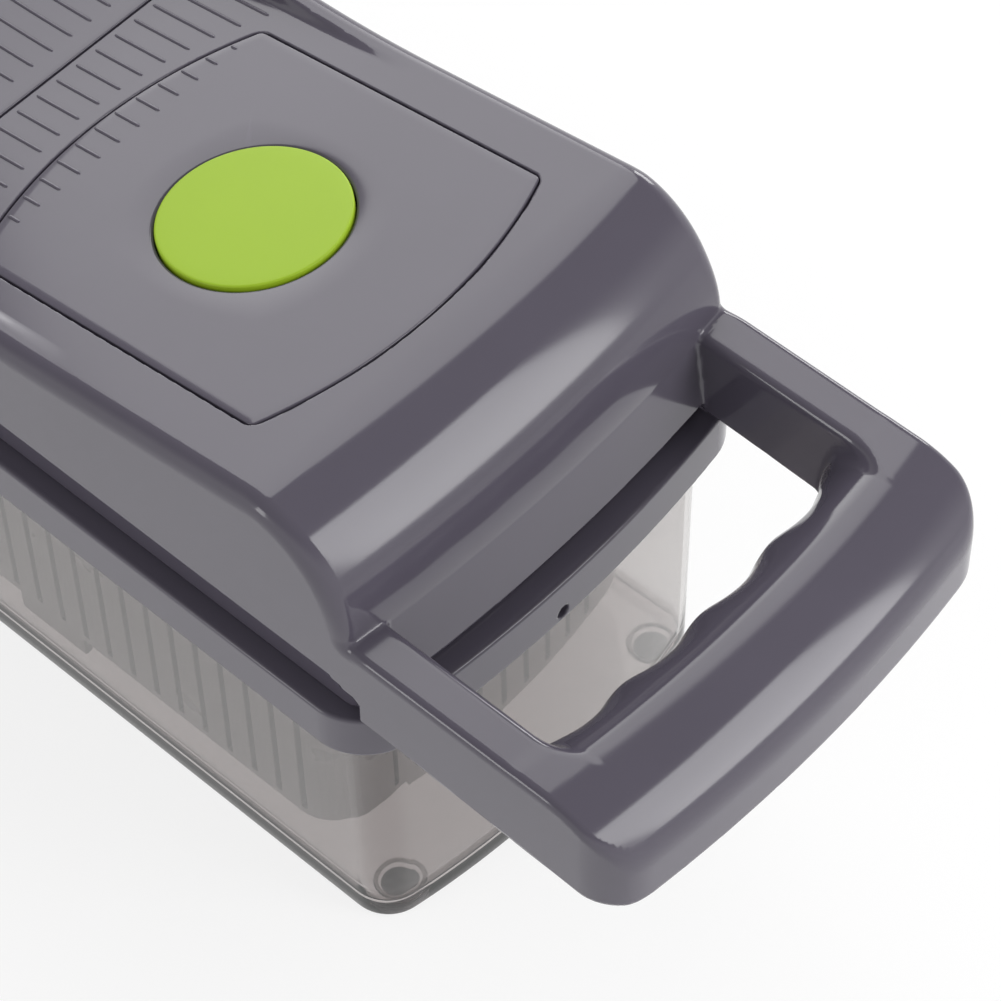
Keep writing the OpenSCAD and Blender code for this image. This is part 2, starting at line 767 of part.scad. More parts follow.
// Grip ribs on the valley's floor, ahead of the seam
module lid_ribs() {
    intersection() {
        along_y(valley_y) polygon(concat(
            [for (x = steps(seam_x + rib_seam, valley_x - rib_start, curve_n)) [x, z_valley(x) + rib_h]],
            [for (x = steps(valley_x - rib_start, seam_x + rib_seam, curve_n)) [x, z_valley(x) - rib_h]]));
        linear_extrude(2 * button_z) difference() {
            rib_rows(seam_x + rib_seam, valley_x, rib_rows_n);
            translate([button_x, 0]) polygon(panel_outline(-rib_clear));
        }
    }
}

module rib_rows(x0, x1, count) {
    for (i = [-count:count]) translate([x0, i * rib_pitch - rib_w / 2]) square([x1 - x0, rib_w]);
}

// Space for the rear cover, sunk into the valley's floor behind the seam
module cover_pocket() {
    intersection() {
        along_y(cover_y + seam_gap) polygon(cover_band(seam_gap, cut));
        linear_extrude(2 * button_z) square([4 * cont_x, 2 * (cover_y + seam_gap)], center = true);
    }
}

function cover_band(m, over) = concat(
    [for (x = steps(seam_x + m, cover_end - m, 2 * curve_n)) [x, z_valley(x) + over]],
    [for (x = steps(cover_end - m, seam_x + m, 2 * curve_n)) [x, z_valley(x) - panel_t]]);

module cover_spots() {
    for (x = [seam_x - spot_front, cover_end + spot_rear]) mirror_y()
        translate([x, cover_y - spot_rear, 0]) children();
}

// Inset panel with its button well, stem guide, screw bosses and rear grip ribs
module top_panel() {
    color([0.48, 0.47, 0.51]) on_panel() difference() {
        union() {
            translate([0, 0, bead - panel_t]) linear_extrude(panel_t - bead) polygon(panel_outline(0));
            translate([0, 0, well_low]) cylinder(r = well_r + well_wall, h = -well_low - eps);
            corners(panel_boss_x, panel_boss_y)
                translate([0, 0, -panel_t - boss_l]) cylinder(r = boss_r, h = boss_l + cut);
            translate([0, 0, -eps]) linear_extrude(rib_h) intersection() {
                polygon(panel_outline(1.5));
                rib_rows(-panel_rear - bulge_rear, -panel_rear - panel_rib, panel_rib_n);
            }
        }
        difference() {
            translate([0, 0, well_top]) cylinder(r = well_r, h = -well_top + cut);
            cylinder(r = guide_r, h = 2 * -guide_top, center = false);
            translate([0, 0, well_top - cut]) cylinder(r = guide_r, h = guide_top - well_top + cut);
        }
        translate([0, 0, guide_top]) cylinder(r = well_r, h = -guide_top + cut);
        translate([0, 0, well_low - cut]) cylinder(r = stem_r + run_fit, h = cut - well_low);
        corners(panel_boss_x, panel_boss_y)
            translate([0, 0, -panel_t - boss_l - eps]) cylinder(r = screw_r + bead, h = boss_l + 1);
    }
}

// Ribbed cover of the rear valley, behind the seam
module rear_cover() {
    color([0.48, 0.47, 0.51]) difference() {
        union() {
            intersection() {
                along_y(cover_y) polygon(concat(
                    [for (x = steps(seam_x, cover_end, 2 * curve_n)) [x, z_valley(x)]],
                    [for (x = steps(cover_end, seam_x, 2 * curve_n)) [x, z_valley(x) - panel_t + bead]]));
                linear_extrude(2 * button_z) square([4 * cont_x, 2 * cover_y], center = true);
            }
            intersection() {
                along_y(cover_y) polygon(concat(
                    [for (x = steps(seam_x - rib_end, cover_end + rib_end, 2 * curve_n))
                        [x, z_valley(x) + rib_h]],
                    [for (x = steps(cover_end + rib_end, seam_x - rib_end, 2 * curve_n))
                        [x, z_valley(x) - 1]]));
                linear_extrude(2 * button_z) rib_rows(cover_end + rib_end, seam_x - rib_end, rib_rows_n);
            }
            cover_spots() translate([0, 0, cover_boss_low()]) cylinder(r = boss_r, h = skin + 0.2);
        }
        cover_spots() translate([0, 0, cover_boss_low() - eps]) cylinder(r = screw_r + bead, h = boss_l + 1);
    }
}

// Level of the rear cover's boss ends, below the lid's skin at the seam end
function cover_boss_low() = z_valley(cover_end) - skin - 0.4;

// Round-headed screw that points up, its washer face at the origin
module screw(length) {
    cylinder(r = screw_r, h = length);
    translate([0, 0, -0.8]) cylinder(r = washer_r, h = 0.8);
    translate([0, 0, -head_h]) cylinder(r = head_r, h = head_h);
}

// Screws that hold the panel from below
module panel_screws() {
    color([0.7, 0.71, 0.73]) on_panel() corners(panel_boss_x, panel_boss_y)
        translate([0, 0, -panel_t - boss_l - bead]) screw(boss_l);
}

// Screws that hold the rear cover from below
module cover_screws() {
    color([0.7, 0.71, 0.73]) cover_spots() translate([0, 0, cover_boss_low() - bead]) screw(boss_l);
}

// Round push button with its rim and stem
module button() {
    color([0.66, 0.79, 0.34]) on_panel() difference() {
        union() {
            translate([0, 0, cap_low]) cylinder(r = button_r, h = button_proud - cap_low);
            translate([0, 0, stem_low]) cylinder(r = stem_r, h = -stem_low);
        }
        difference() {
            translate([0, 0, cap_low - cut]) cylinder(r = button_r - cap_wall, h = cut - cap_low - cap_t);
            translate([0, 0, stem_low - cut]) cylinder(r = stem_r, h = 2 * cut - stem_low);
        }
        translate([0, 0, clip_top - clip_t - 0.1]) difference() {
            cylinder(r = stem_r + cut, h = clip_t + 0.2);
            cylinder(r = groove_r, h = clip_t + 0.2);
        }
        translate([0, 0, stem_low - cut]) cylinder(r = stud_r + bead, h = stud_l + cut + 0.2);
    }
}

// Open clip on the button's stem, under the well's floor
module button_clip() {
    color([0.7, 0.71, 0.73]) on_panel() translate([0, 0, clip_top - clip_t]) difference() {
        cylinder(r = clip_r, h = clip_t);
        translate([0, 0, -cut]) cylinder(r = groove_r + bead, h = clip_t + 2 * cut);
        translate([-clip_r - cut, -groove_r + 0.4, -cut])
            cube([clip_r + cut, 2 * groove_r - 0.8, clip_t + 2 * cut]);
    }
}

// Coil spring that returns the button
module button_spring() {
    wall = [for (i = [0:rings - 1], j = [0:side_n - 1]) let (k = (j + 1) % side_n)
        [[i * side_n + j, i * side_n + k, (i + 1) * side_n + k],
        [i * side_n + j, (i + 1) * side_n + k, (i + 1) * side_n + j]]];
    faces = concat([for (pair = wall, f = pair) f],
        [[for (j = [side_n - 1:-1:0]) j]], [[for (j = [0:side_n - 1]) rings * side_n + j]]);
    color([0.75, 0.76, 0.78]) on_panel() polyhedron(
        points = [for (i = [0:rings], j = [0:side_n - 1]) ring_point(i, j)], faces = faces);
}

// Cam blade on the stem, with two slanted slots that drive the latches
module release_cam() {
    color([0.3, 0.3, 0.33]) on_panel() difference() {
        union() {
            translate([-cam_t / 2, -cam_half, cam_low]) cube([cam_t, 2 * cam_half, cam_top - cam_low]);
            translate([0, 0, cam_top - eps]) cylinder(r = stud_r, h = stud_l);
        }
        mirror_y() cam_slot();
    }
}

// Slot from the latch peg's rest place to its place with the button pressed
module cam_slot() {
    tilt = atan(slide_ratio);
    reach = button_travel / cos(tilt);
    translate([0, latch_peg_y, peg_level]) rotate([-tilt, 0, 0]) rotate([0, 90, 0]) {
        cylinder(r = latch_slot_r, h = 2 * cam_t, center = true);
        translate([-reach, 0, 0]) cylinder(r = latch_slot_r, h = 2 * cam_t, center = true);
        translate([-reach, -latch_slot_r, -cam_t]) cube([reach, 2 * latch_slot_r, 2 * cam_t]);
    }
}

// Sliding latch on the far side: bar, cam peg and a hook under the press plate's flange
module latch_right() {
    hook_low = press_z - seat - tip_h;
    color([0.55, 0.55, 0.58]) {
        on_panel() {
            translate([latch_x, latch_peg_y - 3, peg_level - latch_t / 2])
                cube([latch_w, hook_y + hook_t - latch_peg_y + 3, latch_t]);
            translate([latch_x + 1 - cam_t - cut, latch_peg_y, peg_level]) rotate([0, 90, 0])
                cylinder(r = latch_peg_r, h = cam_t + cut);
        }
        translate([button_x + hook_x(), hook_y, hook_low])
            cube([latch_w - 1, hook_t, z_plane(button_x) + peg_level - hook_low]);
        translate([button_x + hook_x(), tip_in, hook_low]) cube([latch_w - 1, hook_y - tip_in + eps, tip_h]);
    }
}

// Place of a hook along X, under the latch's tilted bar
function hook_x() = latch_x + 0.5 - peg_level * sin(lid_slope);

// Sliding latch on the near side, the far one turned half round the button
module latch_left() {
    hook_low = press_z - seat - tip_h;
    color([0.55, 0.55, 0.58]) {
        on_panel() rotate([0, 0, 180]) {
            translate([latch_x, latch_peg_y - 3, peg_level - latch_t / 2])
                cube([latch_w, hook_y + hook_t - latch_peg_y + 3, latch_t]);
            translate([latch_x + 1 - cam_t - cut, latch_peg_y, peg_level]) rotate([0, 90, 0])
                cylinder(r = latch_peg_r, h = cam_t + cut);
        }
        translate([button_x + left_x(), -hook_y - hook_t, hook_low])
            cube([latch_w - 1, hook_t, z_plane(button_x) + peg_level - hook_low]);
        translate([button_x + left_x(), -hook_y - eps, hook_low])
            cube([latch_w - 1, hook_y - tip_in + eps, tip_h]);
    }
}

function left_x() = -latch_x - latch_w + 0.5 - peg_level * sin(lid_slope);

// Plate under the latches, screwed to the lid's pillars, with a window for the cam
module latch_bridge() {
    span = bridge_post_y + bridge_end;
    rail = latch_x + latch_w + slip;
    color([0.42, 0.41, 0.45]) on_panel() difference() {
        union() {
            translate([-rail - bridge_rail, -span, bridge_top - bridge_t])
                cube([2 * (rail + bridge_rail), 2 * span, bridge_t]);
            corners(bridge_post_x, bridge_post_y)
                translate([0, 0, bridge_top - bridge_t]) cylinder(r = post_r + 1, h = bridge_t - bead);
            for (s = [-1, 1])
                translate([(s * (2 * rail + bridge_rail) - bridge_rail) / 2, -bridge_guide / 2, bridge_top - eps])
                cube([bridge_rail, bridge_guide, latch_t]);
        }
        translate([-cam_t / 2 - 0.5, -cam_half - 0.5, bridge_top - bridge_t - cut])
            cube([cam_t + 1, 2 * cam_half + 1, bridge_t + 2 * cut]);
        corners(bridge_post_x, bridge_post_y)
            translate([0, 0, bridge_top - bridge_t - cut]) cylinder(r = screw_r + 0.2, h = bridge_t + 2 * cut);
    }
}

// Screws that hold the latch bridge
module bridge_screws() {
    color([0.7, 0.71, 0.73]) on_panel() corners(bridge_post_x, bridge_post_y)
        translate([0, 0, bridge_top - bridge_t - bead]) screw(bridge_t + 6);
}

// Square places of the pegs, as a flat pattern of a given half size
module peg_squares(half) {
    for (i = [0:cells - 1], j = [0:cells - 1])
        translate([(i - (cells - 1) / 2) * cell, (j - (cells - 1) / 2) * cell])
            square(2 * half, center = true);
}

// Press plate with square pegs that push through the grid
module press_plate() {
    color([0.86, 0.87, 0.88]) translate([button_x, 0, 0]) {
        slab(-press_half, press_half, flange_y, press_z, press_z + press_t);
        translate([0, 0, peg_low]) linear_extrude(press_z - peg_low + eps) peg_squares(peg_half);
    }
}

// Loose grid around the pegs that strips them clean
module stripper_grid() {
    color([0.66, 0.79, 0.34])
    translate([button_x, 0, press_z - seat - strip_t]) linear_extrude(strip_t) difference() {
        square(2 * strip_half, center = true);
        peg_squares(peg_half + slip);
    }
}

container();
foot_pads();
drain_basket();
cutting_frame();
blade_carrier();
blades_long();
blades_cross();
blade_lock();
hinge_pins();
lid();
top_panel();
rear_cover();
panel_screws();
cover_screws();
button();
button_clip();
button_spring();
release_cam();
latch_left();
latch_right();
latch_bridge();
bridge_screws();
press_plate();
stripper_grid();
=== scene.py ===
"""Vegetable chopper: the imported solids, dressed as the moulded pieces that they stand for.

Sizes are in millimetres and Blender works in metres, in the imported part's own frame: +Z up, +X towards the
handle, and the origin on the table under the middle of the container.
"""
import json
import logging
import math
from dataclasses import dataclass
from enum import Enum
from typing import Callable, Iterable, Sequence

import bpy
import numpy as np
from bpy.types import Material, Node, NodeSocket, NodeTree, Object
from mathutils import Matrix, Vector

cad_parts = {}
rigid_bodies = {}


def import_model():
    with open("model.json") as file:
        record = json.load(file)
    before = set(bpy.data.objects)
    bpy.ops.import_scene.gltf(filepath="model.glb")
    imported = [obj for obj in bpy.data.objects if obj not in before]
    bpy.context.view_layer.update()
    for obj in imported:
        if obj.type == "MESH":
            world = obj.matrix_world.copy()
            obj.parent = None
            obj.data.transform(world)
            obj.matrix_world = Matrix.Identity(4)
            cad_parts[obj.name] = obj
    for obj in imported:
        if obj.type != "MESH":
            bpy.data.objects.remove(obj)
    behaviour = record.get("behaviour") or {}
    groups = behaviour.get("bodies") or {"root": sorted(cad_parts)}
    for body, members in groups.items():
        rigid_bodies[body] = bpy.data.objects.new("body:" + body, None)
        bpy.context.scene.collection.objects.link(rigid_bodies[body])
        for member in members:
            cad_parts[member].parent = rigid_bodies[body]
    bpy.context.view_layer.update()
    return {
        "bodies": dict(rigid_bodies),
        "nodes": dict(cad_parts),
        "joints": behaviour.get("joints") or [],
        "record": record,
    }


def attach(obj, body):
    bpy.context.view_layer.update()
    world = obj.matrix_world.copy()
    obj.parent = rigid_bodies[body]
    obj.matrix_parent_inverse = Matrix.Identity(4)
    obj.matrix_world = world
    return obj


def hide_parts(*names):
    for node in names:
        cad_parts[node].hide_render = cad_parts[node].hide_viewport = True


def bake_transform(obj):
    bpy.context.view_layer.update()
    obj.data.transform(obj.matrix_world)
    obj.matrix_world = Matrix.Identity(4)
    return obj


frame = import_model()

LOG = logging.getLogger("vegetable_chopper")
MM = 0.001
TINY = 1e-6
# Sockets of the Mix node, which has a set for each kind of value
MIX_FLOAT_A, MIX_FLOAT_B = 2, 3
MIX_COLOUR_A, MIX_COLOUR_B, MIX_COLOUR = 6, 7, 2
Array = np.ndarray
Field = Callable[[Array, Array, Array], Array]
Colour = tuple[float, float, float]


class Body(Enum):
    """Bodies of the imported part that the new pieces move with."""

    BASE = "base"
    FRAME = "frame"
    LID = "lid"
    BUTTON = "button"


class Slot(Enum):
    """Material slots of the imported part's record."""

    CLEAR = "clear_plastic"
    SMOKE = "smoke_plastic"
    GREY = "grey_plastic"
    DARK = "dark_plastic"
    INNER = "inner_plastic"
    WHITE = "white_plastic"
    GREEN = "green_plastic"
    BLADE = "blade_steel"
    BRIGHT = "bright_steel"
    FOOT = "foot_rubber"


# Fields: signed distances in millimetres, negative inside


def round_max(a: Array, b: Array, radius: float | Array) -> Array:
    """Common part of two forms, with the edge between them rounded.

    Args:
        a: field of the first form.
        b: field of the second form, about square to the first.
        radius: radius of the rounded edge.

    Returns:
        The joined field.
    """
    edge = np.hypot(np.maximum(a + radius, 0.0), np.maximum(b + radius, 0.0))
    return np.minimum(-radius, np.maximum(a, b)) + edge


def round_min(a: Array, b: Array, radius: float) -> Array:
    """Union of two forms with a fillet where they meet: `round_max` turned inside out."""
    return -round_max(-a, -b, radius)


def soft_max(a: Array, b: Array, width: float) -> Array:
    """Common part of two forms that meet at a shallow crease, eased over the given width."""
    return np.maximum(a, b) + np.square(np.maximum(width - np.abs(a - b), 0.0)) / (4.0 * width)


def smooth_step(low: float, high: float, value: Array) -> Array:
    """Eased step from 0 at `low` to 1 at `high`."""
    t = np.clip((value - low) / (high - low), 0.0, 1.0)
    return t * t * (3.0 - 2.0 * t)


def ellipse_field(u: Array, v: Array, a: float, b: float) -> Array:
    """Distance to an ellipse with half-axes `a` and `b`, close to true near the curve."""
    k = np.hypot(u / a, v / b)
    return (k - 1.0) * k / np.maximum(np.hypot(u / (a * a), v / (b * b)), TINY)


def rolled(dx: Array, dz: Array, reach: float, height: float) -> Array:
    """Level top that rolls down by a quarter of an ellipse where `dx` is above zero."""
    return np.where(dx > 0.0, ellipse_field(dx, dz, reach, height), dz - height)


def corners(x: float, y: float) -> list[tuple[float, float]]:
    """The four places at `x` and `y` on both sides of the middle."""
    return [(a, b) for a in (-x, x) for b in (-y, y)]


@dataclass(frozen=True)
class Outline:
    """Plan outline with a straight rear, a bowed front and four round corners."""

    rear: float
    front: float
    half: float
    bow: float
    corner: float
    corner_steps: int = 9
    bow_steps: int = 24
    least_corner: float = 0.4

    @property
    def bow_x(self) -> float:
        """Centre of the bow on the X axis."""
        return self.front - self.bow

    def straight(self, x: Array, y: Array) -> Array:
        """X as if the bowed front were straight."""
        return self.bow_x + np.hypot(x - self.bow_x, y)

    def distance(self, x: Array, y: Array) -> Array:
        """Signed distance from the outline, in plan."""
        ends = np.maximum(self.rear - x, self.straight(x, y) - self.front)
        return round_max(np.abs(y) - self.half, ends, self.corner)

    def loop(self, margin: float) -> Array:
        """Points of the outline, drawn in by a margin.

        Args:
            margin: distance inwards from the outline.

        Returns:
            An array of X, Y rows, anticlockwise, the same count for every margin.
        """
        r = max(self.corner - margin, self.least_corner)
        h = self.half - margin - r
        b = self.bow - margin
        front_x = self.bow_x + math.sqrt((b - r) ** 2 - h * h)
        front_a = math.asin(h / (b - r))
        rear_x = self.rear + margin + r
        return np.concatenate([
            arc(rear_x, -h, r, math.pi, 1.5 * math.pi, self.corner_steps),
            arc(front_x, -h, r, -0.5 * math.pi, -front_a, self.corner_steps),
            arc(self.bow_x, 0.0, b, -front_a, front_a, self.bow_steps)[1:-1],
            arc(front_x, h, r, front_a, 0.5 * math.pi, self.corner_steps),
            arc(rear_x, h, r, 0.5 * math.pi, math.pi, self.corner_steps),
        ])


def arc(cx: float, cy: float, radius: float, start: float, end: float, steps: int) -> Array:
    """Points of an arc, ends included.

    Args:
        cx: centre's X.
        cy: centre's Y.
        radius: the arc's radius.
        start: first angle in radians.
        end: last angle in radians.
        steps: number of steps between the ends.

    Returns:
        An array of X, Y rows.
    """
    angles = np.linspace(start, end, steps + 1)
    return np.stack([cx + radius * np.cos(angles), cy + radius * np.sin(angles)], axis=1)


def quarter(x: float, z: float, dx: float, dz: float, steps: int = 5) -> list[tuple[float, float]]:
    """Points of a rounded corner of a section.

    Args:
        x: the corner's first coordinate.
        z: the corner's second coordinate.
        dx: run from the start towards the corner, along the first axis.
        dz: run from the corner to the end, along the second axis.
        steps: number of steps.

    Returns:
        Points from (x - dx, z) round to (x, z + dz).
    """
    turns = [i * 0.5 * math.pi / steps for i in range(steps + 1)]
    return [(x - dx + dx * math.sin(t), z + dz - dz * math.cos(t)) for t in turns]


# Meshes


@dataclass
class FieldMesher:
    """Turns a field into a quad mesh by surface nets on a rectilinear lattice."""

    name: str
    form: Field
    xs: Array
    ys: Array
    zs: Array
    block: int = 6
    reach: float = 2.2
    probe: float = 0.04
    margin: float = 1.0
    far: float = 9.0
    flattest: float = 0.05

    def build(self) -> Object:
        """Samples the field, places one vertex in each cell that the surface crosses and joins them.

        Returns:
            The new object, in metres, with normals from the field.
        """
        values = self._sample()
        spots, quads = self._net(values)
        spots, normals = self._settle(spots)
        return new_object(self.name, spots, quads.tolist(), normals)

    def _sample(self) -> Array:
        """Field on the lattice, worked out only near the surface.

        Returns:
            The lattice's values.
        """
        lines = (self.xs, self.ys, self.zs)
        middles, halves = [], []
        for line in lines:
            starts = line[:: self.block]
            ends = line[np.minimum(np.arange(len(starts)) * self.block + self.block, len(line) - 1)]
            middles.append((starts + ends) / 2.0)
            halves.append((ends - starts) / 2.0)
        rough = self.form(*np.meshgrid(*middles, indexing="ij"))
        span = np.sqrt(sum(np.square(h) for h in np.meshgrid(*halves, indexing="ij")))
        near = np.abs(rough) < self.reach * span + self.margin
        for axis in range(3):
            near = near | np.roll(near, 1, axis)
        picks = [np.arange(len(line)) // self.block for line in lines]
        mask = near[np.ix_(*picks)]
        values = np.where(rough < 0.0, -self.far, self.far)[np.ix_(*picks)]
        i, j, k = np.nonzero(mask)
        values[i, j, k] = self.form(self.xs[i], self.ys[j], self.zs[k])
        return values

    def _net(self, values: Array) -> tuple[Array, Array]:
        """Cells that the surface crosses, and one quad for each lattice edge that it cuts.

        Args:
            values: the field on the lattice.

        Returns:
            The points and the quads.
        """
        lines = (self.xs, self.ys, self.zs)
        shape = np.array(values.shape)
        cells, points, flips = [], [], []
        for axis in range(3):
            low = np.take(values, range(shape[axis] - 1), axis)
            high = np.take(values, range(1, shape[axis]), axis)
            at = np.stack(np.nonzero((low < 0.0) != (high < 0.0)), axis=1)
            a = low[tuple(at.T)]
            share = a / (a - high[tuple(at.T)])
            spot = np.stack([line[at[:, n]] for n, line in enumerate(lines)], axis=1)
            step = lines[axis][at[:, axis] + 1] - lines[axis][at[:, axis]]
            spot[:, axis] += share * step
            one, two = (axis + 1) % 3, (axis + 2) % 3
            ring = []
            for d_one, d_two in ((1, 1), (0, 1), (0, 0), (1, 0)):
                cell = at.copy()
                cell[:, one] -= d_one
                cell[:, two] -= d_two
                ring.append((cell[:, 0] * shape[1] + cell[:, 1]) * shape[2] + cell[:, 2])
            cells.append(np.stack(ring, axis=1))
            points.append(spot)
            flips.append(a >= 0.0)
        cell = np.concatenate(cells)
        point = np.concatenate(points)
        flip = np.concatenate(flips)
        _, index = np.unique(cell.ravel(), return_inverse=True)
        count = np.bincount(index)
        spread = np.repeat(point, 4, axis=0)
        spots = np.stack([np.bincount(index, spread[:, n]) / count for n in range(3)], axis=1)
        quads = index.reshape(-1, 4)
        quads[flip] = quads[flip][:, ::-1]
        return spots, quads

    def _slope(self, spots: Array) -> Array:
        """Gradient of the field at the given points.

        Args:
            spots: rows of X, Y, Z.

        Returns:
            One gradient for each point.
        """
        slopes = []
        for axis in range(3):
            step = np.zeros(3)
            step[axis] = self.probe
            ahead = self.form(*(spots + step).T)
            behind = self.form(*(spots - step).T)
            slopes.append((ahead - behind) / (2.0 * self.probe))
        return np.stack(slopes, axis=1)

    def _settle(self, spots: Array, rounds: int = 3, longest: float = 0.5) -> tuple[Array, Array]:
        """Moves the points onto the surface and gives the surface's normals there.

        Args:
            spots: rows of X, Y, Z.
            rounds: number of moves.
            longest: longest move at a time.

        Returns:
            The points and their normals.
        """
        for _ in range(rounds):
            slope = self._slope(spots)
            power = np.maximum(np.sum(slope * slope, axis=1), self.flattest)
            move = np.clip(self.form(*spots.T) / power, -longest, longest)
            spots = spots - move[:, None] * slope
        slope = self._slope(spots)
        length = np.maximum(np.linalg.norm(slope, axis=1), TINY)
        return spots, slope / length[:, None]


def ruled(*spans: tuple[float, float, float]) -> Array:
    """Lattice lines from spans of (start, end, step) that follow each other."""
    lines = [np.linspace(a, b, max(2, round((b - a) / s) + 1))[:-1] for a, b, s in spans]
    return np.concatenate(lines + [np.array([spans[-1][1]])])


def both_sides(half: float, step: float, *outer: tuple[float, float, float]) -> Array:
    """Lattice lines across, from the middle span and the spans that follow it on each side."""
    left = [(-end, -start, size) for start, end, size in reversed(outer)]
    return ruled(*left, (-half, half, step), *outer)


def new_object(name: str, spots: Array, faces: Sequence[Sequence[int]],
               normals: Array | None = None) -> Object:
    """Makes a smooth mesh object from points in millimetres.

    Args:
        name: the piece's name.
        spots: rows of X, Y, Z.
        faces: corner numbers of each face.
        normals: one normal for each point, or none for Blender's own.

    Returns:
        The object, linked to the scene.
    """
    mesh = bpy.data.meshes.new(name)
    mesh.from_pydata((np.asarray(spots) * MM).tolist(), [], faces)
    mesh.validate()
    mesh.shade_smooth()
    if normals is not None:
        mesh.normals_split_custom_set_from_vertices(np.asarray(normals).tolist())
    piece = bpy.data.objects.new(name, mesh)
    bpy.context.collection.objects.link(piece)
    return piece


def by_angle(piece: Object, degrees: float) -> Object:
    """Keeps edges sharper than the given angle as sharp in the shading."""
    piece.data.set_sharp_from_angle(angle=math.radians(degrees))
    return piece


class MeshDraft:
    """Points and faces of a mesh while it is put together."""

    def __init__(self) -> None:
        """Starts empty."""
        self.spots: list[Array] = []
        self.faces: list[list[int]] = []
        self.count = 0

    def ring(self, spots: Array) -> list[int]:
        """Adds points.

        Args:
            spots: rows of X, Y, Z.

        Returns:
            Their numbers.
        """
        self.spots.append(np.asarray(spots, float))
        first = self.count
        self.count += len(spots)
        return list(range(first, self.count))

    def bridge(self, one: list[int], two: list[int], closed: bool = True) -> None:
        """Joins two rows of the same count with quads.

        Args:
            one: first row.
            two: second row.
            closed: joins the ends too.
        """
        last = len(one) if closed else len(one) - 1
        for i in range(last):
            k = (i + 1) % len(one)
            self.faces.append([one[i], one[k], two[k], two[i]])

    def skin(self, rows: list[list[int]], flip: bool = False, closed: bool = True) -> None:
        """Joins each row to the next one.

        Args:
            rows: point numbers of the rows, in order.
            flip: turns the faces over.
            closed: joins the ends of the rows too.
        """
        for one, two in zip(rows, rows[1:]):
            if flip:
                one, two = two, one
            self.bridge(one, two, closed)

    def cap(self, ring: list[int], flip: bool = False) -> None:
        """Closes a ring with one face."""
        self.faces.append(ring[::-1] if flip else list(ring))

    def lathe(self, section: Iterable[tuple[float, float]], steps: int = 72,
              place: Callable[[Array], Array] | None = None) -> list[list[int]]:
        """Turns a section of (radius, height) points about the Z axis.

        Args:
            section: points from start to end, outwards side on the left when going up.
            steps: points in each ring.
            place: moves the points into the part's frame.

        Returns:
            The rings' point numbers.
        """
        turn = np.linspace(0.0, 2.0 * math.pi, steps, endpoint=False)
        rings = []
        for radius, height in section:
            spots = np.stack([radius * np.cos(turn), radius * np.sin(turn), np.full(steps, height)], axis=1)
            rings.append(self.ring(place(spots) if place else spots))
        self.skin(rings)
        return rings

    def piece(self, name: str) -> Object:
        """Makes the object."""
        return new_object(name, np.concatenate(self.spots), self.faces)


def settle_in(piece: Object, body: Body, slot: Slot, material: Material, *nodes: str) -> Object:
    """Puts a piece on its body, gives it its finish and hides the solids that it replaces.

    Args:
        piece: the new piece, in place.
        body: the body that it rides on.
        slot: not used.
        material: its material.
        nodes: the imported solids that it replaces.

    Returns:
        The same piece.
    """
    piece.data.materials.clear()
    piece.data.materials.append(material)
    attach(piece, body.value)
    if nodes:
        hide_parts(*nodes)
    LOG.info("%s rides on %s", piece.name, body.value)
    return piece


# Finishes


